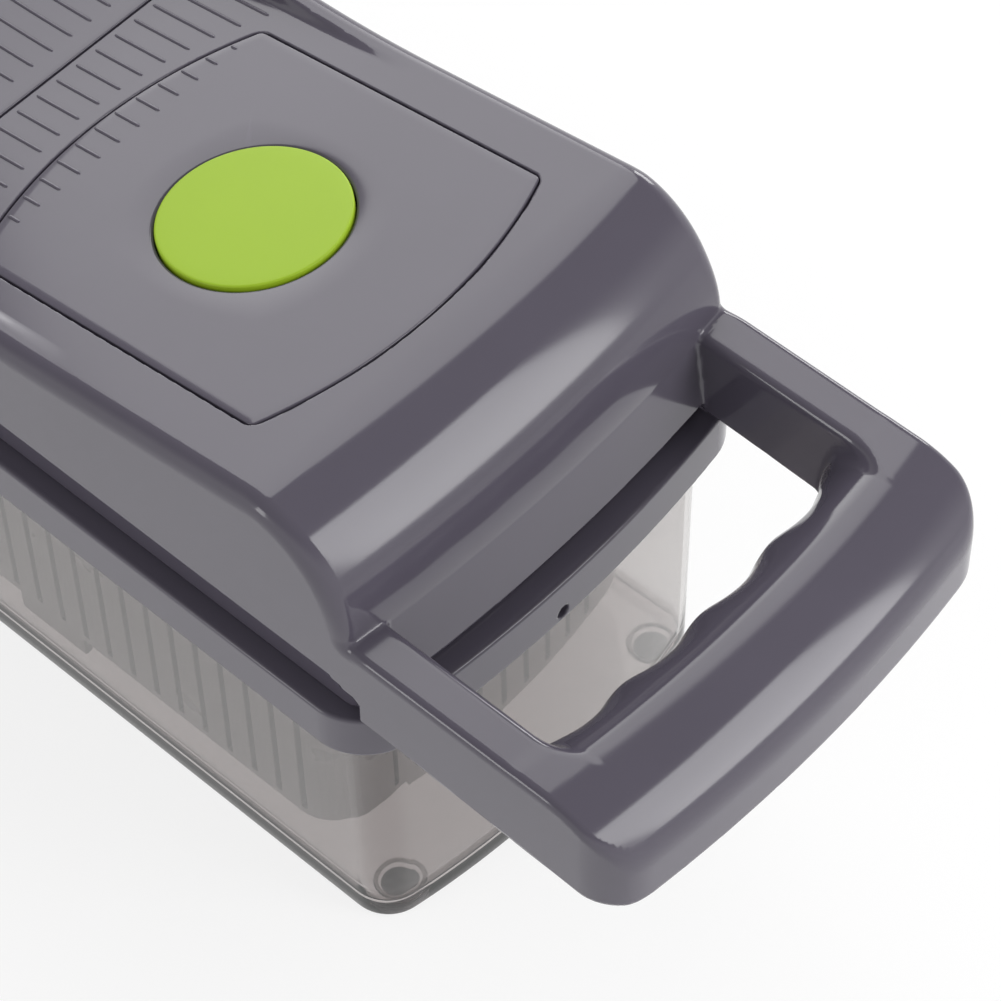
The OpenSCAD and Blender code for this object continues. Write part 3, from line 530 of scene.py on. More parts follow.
class NodeSheet:
    """Shorthand for a node tree: adds nodes and joins sockets."""

    def __init__(self, tree: NodeTree) -> None:
        """Works on one tree."""
        self.tree = tree

    def add(self, kind: str, **values: object) -> Node:
        """Adds a node of one of Blender's types with the given values, as `set` takes them."""
        return self.set(self.tree.nodes.new(kind), **values)

    def set(self, node: Node, **values: object) -> Node:
        """Sets a node's properties, and sets or joins its inputs.

        Args:
            node: the node.
            values: values or outputs, by property or input name, with an underscore for a space.

        Returns:
            The same node.
        """
        for key, value in values.items():
            if hasattr(node, key):
                setattr(node, key, value)
            else:
                self.feed(node.inputs[key.replace("_", " ")], value)
        return node

    def join(self, source: NodeSocket, target: NodeSocket) -> None:
        """Joins an output to an input."""
        self.tree.links.new(source, target)

    def feed(self, target: NodeSocket, value: object) -> None:
        """Joins an output to an input, or sets the input's own value.

        Args:
            target: the input.
            value: an output, a number or a colour.
        """
        if isinstance(value, NodeSocket):
            self.join(value, target)
        else:
            target.default_value = value

    def maths(self, operation: str, a: object, b: object) -> NodeSocket:
        """Adds a Math node.

        Args:
            operation: Blender's name of the operation.
            a: first value or output.
            b: second value or output.

        Returns:
            The node's output.
        """
        node = self.add("ShaderNodeMath", operation=operation)
        self.feed(node.inputs[0], a)
        self.feed(node.inputs[1], b)
        return node.outputs[0]

    def spread(self, value: NodeSocket, low: float, high: float,
               start: float = 0.0, end: float = 1.0) -> NodeSocket:
        """Maps a value from one span to another.

        Args:
            value: the socket to map.
            low: result at `start`.
            high: result at `end`.
            start: where the span starts.
            end: where the span ends.

        Returns:
            The mapped socket.
        """
        span = {"From_Min": start, "From_Max": end, "To_Min": low, "To_Max": high}
        return self.add("ShaderNodeMapRange", Value=value, **span).outputs["Result"]

    def height(self, frame: str) -> NodeSocket:
        """Z of a place in one of Blender's coordinate frames."""
        where = self.add("ShaderNodeTexCoord")
        return self.add("ShaderNodeSeparateXYZ", Vector=where.outputs[frame]).outputs["Z"]

    def tint(self, share: NodeSocket, one: object, two: object) -> NodeSocket:
        """Mixes two colours.

        Args:
            share: share of the second colour.
            one: first colour or output.
            two: second colour or output.

        Returns:
            The mixed colour.
        """
        node = self.add("ShaderNodeMix", data_type="RGBA")
        self.join(share, node.inputs[0])
        self.feed(node.inputs[MIX_COLOUR_A], one)
        self.feed(node.inputs[MIX_COLOUR_B], two)
        return node.outputs[MIX_COLOUR]

    def bump(self, shader: Node, height: NodeSocket, strength: float, rise: float) -> None:
        """Gives a shader a bump.

        Args:
            shader: the shader.
            height: the heights, from 0 to 1.
            strength: strength of the bump.
            rise: its height in millimetres.
        """
        node = self.add("ShaderNodeBump", Strength=strength, Distance=rise * MM, Height=height)
        self.set(shader, Normal=node.outputs[0])

    def blend(self, share: NodeSocket, one: Node, two: Node, output: Node) -> None:
        """Mixes two shaders on the way to the material's output.

        Args:
            share: share of the second shader.
            one: first shader.
            two: second shader.
            output: the output node.
        """
        node = self.add("ShaderNodeMixShader")
        for source, target in zip((share, one.outputs[0], two.outputs[0]), node.inputs):
            self.join(source, target)
        self.set(output, Surface=node.outputs[0])


def rgba(colour: Colour, gain: float = 1.0) -> tuple[float, float, float, float]:
    """Colour with full alpha, brightened by a gain."""
    return (*(min(c * gain, 1.0) for c in colour), 1.0)


def toned(sheet: NodeSheet, share: NodeSocket, colour: Colour, low: float, high: float) -> NodeSocket:
    """A colour that goes from a darker gain to a lighter one by a share."""
    return sheet.tint(share, rgba(colour, low), rgba(colour, high))


class SurfaceEffects:
    """Shader node groups that several finishes share, each built once."""

    def __init__(self) -> None:
        """Builds the groups."""
        self.grain = self._grain()
        self.wear = self._wear()
        self.hairlines = self._hairlines()

    @staticmethod
    def _new_group(name: str, inputs: dict[str, float],
                   *outputs: str) -> tuple[NodeSheet, Node, Node, Node]:
        """Makes a group with value inputs and outputs.

        Args:
            name: the group's name.
            inputs: input names and their first values.
            outputs: output names.

        Returns:
            The group's sheet, its input node, its output node and its coordinates.
        """
        group = bpy.data.node_groups.new(name, "ShaderNodeTree")
        for key, value in inputs.items():
            socket = group.interface.new_socket(key, in_out="INPUT", socket_type="NodeSocketFloat")
            socket.default_value = value
        for key in outputs:
            group.interface.new_socket(key, in_out="OUTPUT", socket_type="NodeSocketFloat")
        sheet = NodeSheet(group)
        source, result = sheet.add("NodeGroupInput"), sheet.add("NodeGroupOutput")
        return sheet, source, result, sheet.add("ShaderNodeTexCoord")

    def _grain(self) -> NodeTree:
        """Fine spark-eroded grain and the slow mottle of moulded plastic.

        Returns:
            The group.
        """
        sheet, source, result, where = self._new_group(
            "moulding_grain", {"Fine Scale": 1600.0, "Slow Scale": 26.0}, "Grain", "Mottle")
        place = where.outputs["Object"]
        fine = sheet.add("ShaderNodeTexNoise", Vector=place, Scale=source.outputs["Fine Scale"], Detail=3.0,
                         Roughness=0.6)
        slow = sheet.add("ShaderNodeTexNoise", Vector=place, Scale=source.outputs["Slow Scale"], Detail=4.0,
                         Roughness=0.55)
        sheet.set(result, Grain=fine.outputs[0], Mottle=slow.outputs[0])
        return sheet.tree

    def _wear(self, ramp: float = 0.09) -> NodeTree:
        """Mask of rubbed convex edges, broken up by noise.

        Args:
            ramp: span from the first trace of wear to full wear.

        Returns:
            The group.
        """
        sheet, source, result, where = self._new_group(
            "edge_wear", {"Start": 0.52, "Breakup Scale": 240.0}, "Wear")
        shape = sheet.add("ShaderNodeNewGeometry")
        start = source.outputs["Start"]
        noise = sheet.add("ShaderNodeTexNoise", Vector=where.outputs["Object"],
                          Scale=source.outputs["Breakup Scale"], Detail=3.0)
        convex = sheet.add("ShaderNodeMapRange", interpolation_type="SMOOTHSTEP",
                           Value=shape.outputs["Pointiness"], From_Min=start,
                           From_Max=sheet.maths("ADD", start, ramp))
        patch = sheet.spread(noise.outputs[0], low=0.25, high=1.0, start=0.35, end=0.65)
        sheet.set(result, Wear=sheet.maths("MULTIPLY", convex.outputs[0], patch))
        return sheet.tree

    def _hairlines(self, stretch: float = 40.0) -> NodeTree:
        """Fine lines along X, as on ground steel.

        Args:
            stretch: length of the lines over their width.

        Returns:
            The group.
        """
        sheet, source, result, where = self._new_group(
            "hairlines", {"Scale": 90.0, "Stretch": stretch}, "Lines")
        squash = sheet.add("ShaderNodeMapping", vector_type="TEXTURE", Vector=where.outputs["Object"],
                           Scale=(stretch, 1.0, 1.0))
        scale = sheet.maths("MULTIPLY", source.outputs["Scale"], source.outputs["Stretch"])
        noise = sheet.add("ShaderNodeTexNoise", Vector=squash.outputs[0], Scale=scale, Detail=4.0)
        sheet.set(result, Lines=noise.outputs[0])
        return sheet.tree


def new_material(name: str, **values: object) -> tuple[Material, NodeSheet, Node, Node]:
    """Makes a material with a Principled shader.

    Args:
        name: the material's name.
        values: the shader's own values.

    Returns:
        The material, its sheet, its shader and its output node.
    """
    material = bpy.data.materials.new(name)
    material.use_nodes = True
    material.node_tree.nodes.clear()
    sheet = NodeSheet(material.node_tree)
    shader = sheet.add("ShaderNodeBsdfPrincipled", **values)
    output = sheet.add("ShaderNodeOutputMaterial", Surface=shader.outputs[0])
    return material, sheet, shader, output


def place_group(sheet: NodeSheet, group: NodeTree, **values: float) -> Node:
    """Places a node group with its own input values, named with an underscore for a space."""
    return sheet.add("ShaderNodeGroup", node_tree=group, **values)


@dataclass(frozen=True)
class MouldedPlastic:
    """Opaque moulded plastic with fine grain, slow mottle and lightly rubbed edges."""

    name: str
    colour: Colour
    roughness: float = 0.3
    grain_scale: float = 1700.0
    grain_depth: float = 0.006
    grain_rise: float = 0.1
    mottle: float = 0.035
    rub: float = 0.12
    rub_gain: float = 1.6
    gloss_spread: float = 0.02
    sheen_level: float = 0.5

    def build(self, effects: SurfaceEffects) -> Material:
        """Makes the material.

        Args:
            effects: the shared effects.

        Returns:
            The material.
        """
        material, sheet, shader, _ = new_material(self.name, Specular_IOR_Level=self.sheen_level)
        grain = place_group(sheet, effects.grain, Fine_Scale=self.grain_scale)
        wear = place_group(sheet, effects.wear)
        cloud = sheet.spread(grain.outputs["Mottle"], 0.0, 1.0, start=0.3, end=0.7)
        mottled = toned(sheet, cloud, self.colour, 1.0 - self.mottle, 1.0 + self.mottle)
        worn = sheet.maths("MULTIPLY", wear.outputs["Wear"], self.rub)
        gloss = sheet.spread(grain.outputs["Grain"], self.roughness - self.gloss_spread,
                             self.roughness + self.gloss_spread, start=0.25, end=0.75)
        rubbed = sheet.tint(worn, mottled, rgba(self.colour, self.rub_gain))
        sheet.set(shader, Base_Color=rubbed, Roughness=gloss)
        sheet.bump(shader, grain.outputs["Grain"], self.grain_depth, self.grain_rise)
        return material


@dataclass(frozen=True)
class ClearPlastic:
    """See-through moulded plastic with faint flow marks, and painted shade in its thick floor: a darker tint
    that stands in for the shadowed table seen through it.
    """

    name: str
    colour: Colour
    roughness: float = 0.03
    ior: float = 1.49
    shade: float = 0.5
    grain_scale: float = 300.0
    flow_scale: float = 40.0
    flow: float = 0.03
    flow_depth: float = 0.006
    flow_rise: float = 0.2
    # painted shade: floor_colour tints the floor darker than the walls, in place of the shadow under the
    # container seen through it
    floor_colour: Colour = (0.4, 0.358, 0.353)
    floor_top: float = 6.0
    painted_shade_fade: float = 3.0

    def build(self, effects: SurfaceEffects) -> Material:
        """Makes the material, which lets part of the light through in shadows.

        Args:
            effects: the shared effects.

        Returns:
            The material.
        """
        material, sheet, shader, output = new_material(self.name, IOR=self.ior, Transmission_Weight=1.0)
        grain = place_group(sheet, effects.grain, Fine_Scale=self.grain_scale, Slow_Scale=self.flow_scale)
        # painted shade: below floor_top the tint turns to floor_colour, over painted_shade_fade
        low, high = self.floor_top * MM, (self.floor_top + self.painted_shade_fade) * MM
        rise = sheet.spread(sheet.height("Object"), 0.0, 1.0, start=low, end=high)
        wall = toned(sheet, grain.outputs["Mottle"], self.colour, 1.0 - self.flow, 1.0 + self.flow)
        gloss = sheet.spread(grain.outputs["Grain"], 0.5 * self.roughness, 1.5 * self.roughness)
        sheet.set(shader, Base_Color=sheet.tint(rise, rgba(self.floor_colour), wall), Roughness=gloss)
        sheet.bump(shader, grain.outputs["Mottle"], self.flow_depth, self.flow_rise)
        path = sheet.add("ShaderNodeLightPath")
        through = sheet.add("ShaderNodeBsdfTransparent", Color=rgba(self.colour, self.shade))
        sheet.blend(path.outputs["Is Shadow Ray"], shader, through, output)
        return material


@dataclass(frozen=True)
class FrostedPlastic:
    """Smoky plastic that lets some light through."""

    name: str
    colour: Colour
    roughness: float = 0.28
    through: float = 0.3
    ior: float = 1.45
    grain_scale: float = 900.0
    mottle_scale: float = 30.0
    mottle: float = 0.03
    mottle_depth: float = 0.01
    mottle_rise: float = 0.1
    rub_start: float = 0.64
    rub: float = 0.12
    rub_gain: float = 1.4
    gloss_spread: float = 0.03

    def build(self, effects: SurfaceEffects) -> Material:
        """Makes the material.

        Args:
            effects: the shared effects.

        Returns:
            The material.
        """
        material, sheet, shader, _ = new_material(self.name, IOR=self.ior, Transmission_Weight=self.through)
        cloud = place_group(sheet, effects.grain, Fine_Scale=self.grain_scale,
                            Slow_Scale=self.mottle_scale).outputs["Mottle"]
        wear = place_group(sheet, effects.wear, Start=self.rub_start)
        mottled = toned(sheet, cloud, self.colour, 1.0 - self.mottle, 1.0 + self.mottle)
        worn = sheet.maths("MULTIPLY", wear.outputs["Wear"], self.rub)
        gloss = sheet.spread(cloud, self.roughness - self.gloss_spread, self.roughness + self.gloss_spread)
        rubbed = sheet.tint(worn, mottled, rgba(self.colour, self.rub_gain))
        sheet.set(shader, Base_Color=rubbed, Roughness=gloss)
        sheet.bump(shader, cloud, self.mottle_depth, self.mottle_rise)
        return material


@dataclass(frozen=True)
class GroundSteel:
    """Bare steel with fine grinding lines."""

    name: str
    colour: Colour
    roughness: float = 0.28
    line_scale: float = 60.0
    line_dark: float = 0.86
    line_light: float = 1.08
    line_depth: float = 0.06
    line_rise: float = 0.05
    rub_gain: float = 1.3
    smoother: float = 0.08
    rougher: float = 0.1

    def build(self, effects: SurfaceEffects) -> Material:
        """Makes the material.

        Args:
            effects: the shared effects.

        Returns:
            The material.
        """
        material, sheet, shader, _ = new_material(self.name, Metallic=1.0)
        lines = place_group(sheet, effects.hairlines, Scale=self.line_scale).outputs["Lines"]
        wear = place_group(sheet, effects.wear)
        ground = toned(sheet, lines, self.colour, self.line_dark, self.line_light)
        worn = sheet.tint(wear.outputs["Wear"], ground, rgba(self.colour, self.rub_gain))
        gloss = sheet.spread(lines, self.roughness - self.smoother, self.roughness + self.rougher)
        sheet.set(shader, Base_Color=worn, Roughness=gloss)
        sheet.bump(shader, lines, self.line_depth, self.line_rise)
        return material


class Finishes:
    """All the materials of the chopper, by slot."""

    def __init__(self) -> None:
        """Builds the shared effects and every finish."""
        effects = SurfaceEffects()
        makers = {
            Slot.CLEAR: ClearPlastic("clear_moulding", (0.69, 0.668, 0.66)),
            Slot.SMOKE: FrostedPlastic("smoke_moulding", (0.176, 0.146, 0.148), through=0.05),
            Slot.GREY: MouldedPlastic("grey_gloss_moulding", (0.088, 0.079, 0.104), 0.12),
            Slot.DARK: MouldedPlastic("dark_grey_moulding", (0.075, 0.073, 0.085), 0.4),
            Slot.INNER: MouldedPlastic("light_grey_moulding", (0.30, 0.30, 0.325), 0.38),
            Slot.WHITE: MouldedPlastic("white_moulding", (0.74, 0.75, 0.76), 0.33),
            Slot.GREEN: MouldedPlastic("green_satin_moulding", (0.318, 0.49, 0.014), 0.5, mottle=0.02,
                                       sheen_level=0.38),
            Slot.BLADE: GroundSteel("ground_blade_steel", (0.56, 0.57, 0.58)),
            Slot.BRIGHT: GroundSteel("plated_steel", (0.66, 0.67, 0.69), 0.2, line_scale=20.0),
            Slot.FOOT: MouldedPlastic("grey_rubber", (0.15, 0.147, 0.155), 0.55, grain_scale=900.0,
                                      grain_depth=0.12),
        }
        self.materials = {slot: maker.build(effects) for slot, maker in makers.items()}

    def __getitem__(self, slot: Slot) -> Material:
        """The material of a slot."""
        return self.materials[slot]


# Lid


@dataclass(frozen=True)
class LidTop:
    """Heights of the lid's top: a sloped plane, level rails behind it and a valley between them."""

    button_x: float = 51.0
    button_z: float = 129.85
    slope: float = math.radians(9.65)
    rail_x: float = 49.0
    rail_ease: float = 45.0
    valley_x: float = 28.0
    valley_run: float = 34.0
    valley_ease: float = 50.0
    valley_floor: float = 48.4
    valley_brim: float = 50.6
    valley_end: float = -112.0
    end_ease: float = 3.0
    seam_x: float = -15.2
    probe: float = 0.25

    def plane(self, x: Array) -> Array:
        """Height of the sloped plane."""
        return self.button_z + math.tan(self.slope) * (x - self.button_x)

    @staticmethod
    def eased(run: Array, ease: float) -> Array:
        """Run that eases to a stop."""
        short = np.minimum(run, ease)
        return short - np.square(short) / (2.0 * ease)

    def falling(self, x: Array, start: float, back: Array) -> Array:
        """Height that follows the plane down to `start`, and behind it falls by its own run."""
        return np.where(x >= start, self.plane(x), self.plane(start) - math.tan(self.slope) * back)

    def rail(self, x: Array) -> Array:
        """Height of the side rails."""
        back = self.eased(np.maximum(self.rail_x - x, 0.0), self.rail_ease)
        return self.falling(x, self.rail_x, back)

    def valley(self, x: Array) -> Array:
        """Height of the valley's floor.

        Args:
            x: places along, in millimetres.

        Returns:
            The heights.
        """
        run = np.maximum(self.valley_x - x, 0.0)
        back = np.minimum(run, self.valley_run)
        back = back + self.eased(np.maximum(run - self.valley_run, 0.0), self.valley_ease)
        return self.falling(x, self.valley_x, back)

    def surface(self, x: Array, y: Array) -> Array:
        """Height of the lid's top, valley included.

        Args:
            x: places along, in millimetres.
            y: places across.

        Returns:
            The heights.
        """
        inside = 1.0 - smooth_step(self.valley_floor, self.valley_brim, np.abs(y))
        inside = inside * smooth_step(self.valley_end - self.end_ease, self.valley_end + self.end_ease, x)
        rail = self.rail(x)
        return rail + (self.valley(x) - rail) * inside

    def field(self, x: Array, y: Array, z: Array) -> Array:
        """Distance above the lid's top, evened out on the valley's steep sides.

        Args:
            x: places along, in millimetres.
            y: places across.
            z: heights.

        Returns:
            The field there.
        """
        step = self.probe
        rise_y = (self.surface(x, y + step) - self.surface(x, y - step)) / (2.0 * step)
        rise_x = (self.surface(x + step, y) - self.surface(x - step, y)) / (2.0 * step)
        return (z - self.surface(x, y)) / np.sqrt(1.0 + np.square(rise_y) + np.square(rise_x))

    def to_panel(self, x: Array, z: Array) -> tuple[Array, Array]:
        """Coordinates along and square to the panel's plane.

        Args:
            x: places along, in millimetres.
            z: heights.

        Returns:
            Places along the panel and over it.
        """
        c, s = math.cos(self.slope), math.sin(self.slope)
        dx, dz = x - self.button_x, z - self.button_z
        return dx * c + dz * s, dz * c - dx * s

    def from_panel(self, spots: Array) -> Array:
        """Moves points from the panel's own frame to the part's frame.

        Args:
            spots: rows in the panel's own frame.

        Returns:
            Rows of X, Y, Z.
        """
        c, s = math.cos(self.slope), math.sin(self.slope)
        u, v, w = np.asarray(spots, float).T
        return np.stack([self.button_x + u * c - w * s, v, self.button_z + u * s + w * c], axis=1)


@dataclass(frozen=True)
class PanelOutline:
    """Outline of the inset panel in its own plane: straight sides and bulged ends."""

    half: float = 41.2
    front: float = 40.3
    rear: float = 38.9
    bulge_front: float = 8.1
    bulge_rear: float = 9.0
    corner: float = 1.6
    least_corner: float = 0.25
    corner_steps: int = 5

    def end_radius(self, bulge: float) -> float:
        """Radius of a bulged end."""
        return (self.half ** 2 + bulge ** 2) / (2.0 * bulge)

    def distance(self, u: Array, v: Array) -> Array:
        """Signed distance from the outline.

        Args:
            u: places along the panel.
            v: places across it.

        Returns:
            The field there.
        """
        rf, rr = self.end_radius(self.bulge_front), self.end_radius(self.bulge_rear)
        front = np.hypot(u - (self.front + self.bulge_front - rf), v) - rf
        rear = np.hypot(u + (self.rear + self.bulge_rear - rr), v) - rr
        return round_max(np.abs(v) - self.half, np.maximum(front, rear), self.corner)

    def rear_edge(self, v: float, gap: float = 0.0) -> float:
        """Place of the bulged rear edge, or of a curve behind it.

        Args:
            v: place across.
            gap: distance of the curve from the edge.

        Returns:
            The place along the panel.
        """
        radius = self.end_radius(self.bulge_rear)
        mid = -(self.rear + self.bulge_rear - radius)
        return mid - math.sqrt((radius + gap) ** 2 - v * v)

    def loop(self, margin: float, steps: int = 36) -> Array:
        """Points of the outline, drawn in by a margin, anticlockwise.

        Args:
            margin: distance inwards from the outline.
            steps: steps along each bulged end.

        Returns:
            Rows of U, V.
        """
        r = max(self.corner - margin, self.least_corner)
        ends = ((1.0, self.front, self.bulge_front), (-1.0, self.rear, self.bulge_rear))
        rows = []
        for side, reach, bulge in ends:
            big = self.end_radius(bulge)
            mid = reach + bulge - big
            h = self.half - margin - r
            turn = math.asin(h / (big - margin - r))
            cx = mid + (big - margin - r) * math.cos(turn)
            rows.append(side * np.concatenate([
                arc(cx, -h, r, -0.5 * math.pi, -turn, self.corner_steps),
                arc(mid, 0.0, big - margin, -turn, turn, steps)[1:-1],
                arc(cx, h, r, turn, 0.5 * math.pi, self.corner_steps),
            ]))
        for row, follower in ((0, 1), (1, 0)):
            straight = np.linspace(rows[row][-1], rows[follower][0], steps + 1)[1:-1]
            rows[row] = np.concatenate([rows[row], straight])
        return np.concatenate(rows)


@dataclass(frozen=True)
class RearHinge:
    """Hinge behind the container, with the sizes that the lid and the frame share."""

    x: float = -142.1
    z: float = 92.0
    barrel_r: float = 4.8
    barrel_fillet: float = 1.0
    pin_hole: float = 2.35
    knuckle_y: float = 39.0

    def reach(self, x: Array, z: Array) -> Array:
        """Distance from the hinge's axis."""
        return np.hypot(x - self.x, z - self.z)

    def barrel(self, x: Array, z: Array, foot: Array) -> Array:
        """Barrel round the axis, with a fillet to the foot that carries it."""
        return round_min(self.reach(x, z) - self.barrel_r, foot, self.barrel_fillet)

    def bore(self, x: Array, z: Array) -> Array:
        """Everything but the hole for the pin."""
        return self.pin_hole - self.reach(x, z)


@dataclass
class LidShell:
    """Lid moulding: sloped top, front roll, side walls, loop handle, hinge knuckles and inner posts."""

    finishes: Finishes
    top: LidTop = LidTop()
    panel: PanelOutline = PanelOutline()
    plan: Outline = Outline(-132.0, 133.5, 56.0, 450.0, 6.0)
    grip_plan: Outline = Outline(-400.0, 199.9, 56.0, 380.0, 10.0)
    edge_plan: Outline = Outline(-400.0, 200.4, 56.0, 380.0, 10.0)
    hinge: RearHinge = RearHinge()
    wall: float = 2.2
    skin: float = 4.6
    wall_low: float = 97.0
    hollow_round: float = 1.5
    hollow_edge: float = 0.5
    lip_low: float = 88.9
    lip_in: float = 2.0
    lip_top: float = 98.0
    lip_fade: float = 100.4
    lip_root: float = 100.0
    lip_round: float = 0.7
    side_round: float = 4.0
    foot_chamfer: float = 2.6
    chamfer_fade: float = 120.0
    rear_round: float = 14.0
    roll_x: float = 108.0
    roll_z: float = 111.0
    roll_reach: float = 23.0
    roll_height: float = 28.0
    roll_ease: float = 0.5
    front_lean: float = 2.5
    front_low: float = 93.0
    recess_end: float = 129.7
    recess_fillet: float = 1.6
    under_round: float = 0.9
    arm_half: float = 45.6
    arm_low: float = 90.5
    arm_top: float = 113.0
    arm_round: float = 1.7
    arm_root: float = 118.0
    arm_fade: float = 122.0
    root_fillet: float = 0.8
    inner_round: float = 2.4
    corner_fillet: float = 4.0
    finger_round: float = 3.0
    grip_round: float = 18.5
    grip_height: float = 14.5
    grip_edge: float = 0.6
    grip_sink: float = 2.4
    sink_start: float = 137.6
    bar_start: float = 146.6
    crown_ease: float = 0.4
    finger_x: float = 168.3
    finger_run: float = 13.2
    finger_drop: float = 12.5
    wave_depth: float = 0.85
    wave_pitch: float = 22.0
    wave_run: float = 9.0
    handle_wall: float = 2.6
    handle_start: float = 136.5
    panel_gap: float = 0.45
    panel_depth: float = 2.45
    panel_edge: float = 0.35
    hole_reach: float = 9.0
    well_hole: float = 22.55
    boss_u: float = 33.0
    boss_v: float = 34.0
    boss_hole: float = 3.2
    cover_half: float = 47.0
    cover_rear: float = -104.0
    cover_edge: float = 0.3
    knuckle_half: float = 5.6
    knuckle_round: float = 0.6
    knuckle_fillet: float = 0.8
    link_lift: float = 1.6
    link_half: float = 3.2
    link_run: float = 6.2
    post_r: float = 3.6
    post_root: float = 3.0
    post_round: float = 0.5
    stop_reach: float = 33.8
    stop_side: float = 21.8
    stop_low: float = 100.1
    pillar_u: float = 14.0
    pillar_v: float = 31.0
    pillar_low: float = -22.9

    def roll(self, x: Array, y: Array, z: Array) -> Array:
        """Distance outside the front roll and the leaning wall under it.

        Args:
            x: places along, in millimetres.
            y: places across.
            z: heights.

        Returns:
            The field there.
        """
        xb = self.plan.straight(x, y)
        dx, dz = xb - self.roll_x, z - self.roll_z
        upper = rolled(dx, dz, self.roll_reach, self.roll_height)
        lean = self.front_lean / (self.roll_z - self.front_low)
        lower = (dx - self.roll_reach + dz * lean) / math.hypot(1.0, lean)
        return np.where(dz > 0.0, upper, lower)

    def slope_left(self, x: Array, y: Array) -> Array:
        """Share of the finger slope that is left up to the crown: waves at its foot, none at its head.

        Args:
            x: places along, in millimetres.
            y: places across.

        Returns:
            The share, from 1 at the foot to 0.
        """
        reach = self.grip_plan.straight(x, y) - self.finger_x
        wave = self.wave_depth * (1.0 + np.cos(2.0 * math.pi * y / self.wave_pitch))
        fade = np.square(np.clip(1.0 - reach / self.wave_run, 0.0, 1.0))
        return np.maximum(1.0 - (reach + wave * fade) / self.finger_run, 0.0)

    def grip(self, z: Array, left: Array) -> Array:
        """Grip between the arms: a wavy finger wall and a slope that rises from it to the crown.

        Args:
            z: heights.
            left: share of the slope that is left.

        Returns:
            The field there.
        """
        pitch = 2.0 * self.finger_drop * left / self.finger_run
        slope = (z - self.arm_top + self.finger_drop * np.square(left)) / np.sqrt(1.0 + np.square(pitch))
        return round_max((left - 1.0) * self.finger_run, slope, self.finger_round)

    def crown(self, x: Array, y: Array, z: Array) -> Array:
        """Level top of the handle and its rounded outer end.

        Args:
            x: places along, in millimetres.
            y: places across.
            z: heights.

        Returns:
            The field there.
        """
        dx = self.grip_plan.straight(x, y) - self.grip_plan.front + self.grip_round
        dz = z - self.arm_top + self.grip_height
        upper = rolled(dx, dz, self.grip_round, self.grip_height)
        return np.where(dz > 0.0, upper, dx - self.grip_round)

    def handle(self, x: Array, y: Array, z: Array) -> Array:
        """Top, inner sides and outer end of the handle, without the edges along its sides.

        Args:
            x: places along, in millimetres.
            y: places across.
            z: heights.

        Returns:
            The field there.
        """
        arms = round_max(z - self.arm_top, self.arm_half - np.abs(y), self.inner_round)
        grip = self.grip(z, self.slope_left(x, y))
        top = round_min(arms, grip, self.corner_fillet)
        return soft_max(top, self.crown(x, y, z), self.crown_ease)

    def edge_radius(self, x: Array) -> Array:
        """Radius of the outer edges: small on the handle, larger on the lid."""
        front = smooth_step(self.arm_fade, self.plan.front, x)
        return self.side_round + (self.arm_round - self.side_round) * front

    def underside(self, x: Array, y: Array, z: Array) -> Array:
        """Distance below the lid's walls, its front and the handle.

        Args:
            x: places along, in millimetres.
            y: places across.
            z: heights.

        Returns:
            The field there.
        """
        share = (x - self.sink_start) / (self.grip_plan.front - self.sink_start)
        sink = self.grip_sink * np.clip(share, 0.0, 1.0)
        on_handle = (np.abs(y) > self.arm_half) | (x > self.bar_start)
        low = np.where(on_handle, self.arm_low - sink, self.front_low)
        return round_min(self.wall_low - z, np.maximum(low - z, self.recess_end - x), self.recess_fillet)

    def outside(self, x: Array, y: Array, z: Array) -> Array:
        """Lid and handle as one closed form, without the hollow.

        Args:
            x: places along, in millimetres.
            y: places across.
            z: heights.

        Returns:
            The field there.
        """
        cap = soft_max(self.top.field(x, y, z), self.roll(x, y, z), self.roll_ease)
        cap = round_max(cap, self.plan.rear - x, self.rear_round)
        handle = np.maximum(self.handle(x, y, z), self.arm_root - x)
        sides = self.edge_plan.distance(x, y)
        form = round_max(sides, round_min(cap, handle, self.root_fillet), self.edge_radius(x))
        form = round_max(form, self.underside(x, y, z), self.under_round)
        foot = np.maximum(sides, self.plan.rear - x) + self.wall_low - z
        turned_in = foot + self.foot_chamfer * (1.0 - smooth_step(self.chamfer_fade, self.recess_end, x))
        turned_in = np.where(x < self.recess_end, turned_in, -self.arm_top)
        return np.maximum(form, turned_in * math.sqrt(0.5))

    def hollow(self, x: Array, y: Array, z: Array) -> Array:
        """Space inside the lid, open below.

        Args:
            x: places along, in millimetres.
            y: places across.
            z: heights.

        Returns:
            The field there.
        """
        thick = self.wall + self.lip_in * (1.0 - smooth_step(self.lip_top, self.lip_fade, z))
        side = self.plan.distance(x, y) + thick
        ceiling = z - (self.top.valley(x) - self.skin)
        room = np.maximum(ceiling, self.roll(x, y, z) + self.wall)
        return round_max(side, room, self.hollow_round)

    def grip_hollow(self, x: Array, y: Array, z: Array) -> Array:
        """Space inside the handle, open below."""
        skin = round_max(self.edge_plan.distance(x, y), self.handle(x, y, z), self.arm_round)
        return np.maximum(skin + self.handle_wall, self.handle_start - x)

    def posts(self, x: Array, y: Array, z: Array) -> Array:
        """Stops over the press plate and pillars that carry the latch bridge.

        Args:
            x: places along, in millimetres.
            y: places across.
            z: heights.

        Returns:
            The field there.
        """
        u, w = self.top.to_panel(x, z)
        ceiling = z - self.top.plane(x) + self.post_root
        along = np.abs(x - self.top.button_x) - self.stop_reach
        stop = np.hypot(along, np.abs(y) - self.stop_side) - self.post_r
        stop = round_max(np.maximum(stop, ceiling), self.stop_low - z, self.post_round)
        pillar = np.hypot(np.abs(u) - self.pillar_u, np.abs(y) - self.pillar_v) - self.post_r
        pillar = round_max(np.maximum(pillar, w + self.post_root), self.pillar_low - w, self.post_round)
        return np.minimum(stop, pillar)

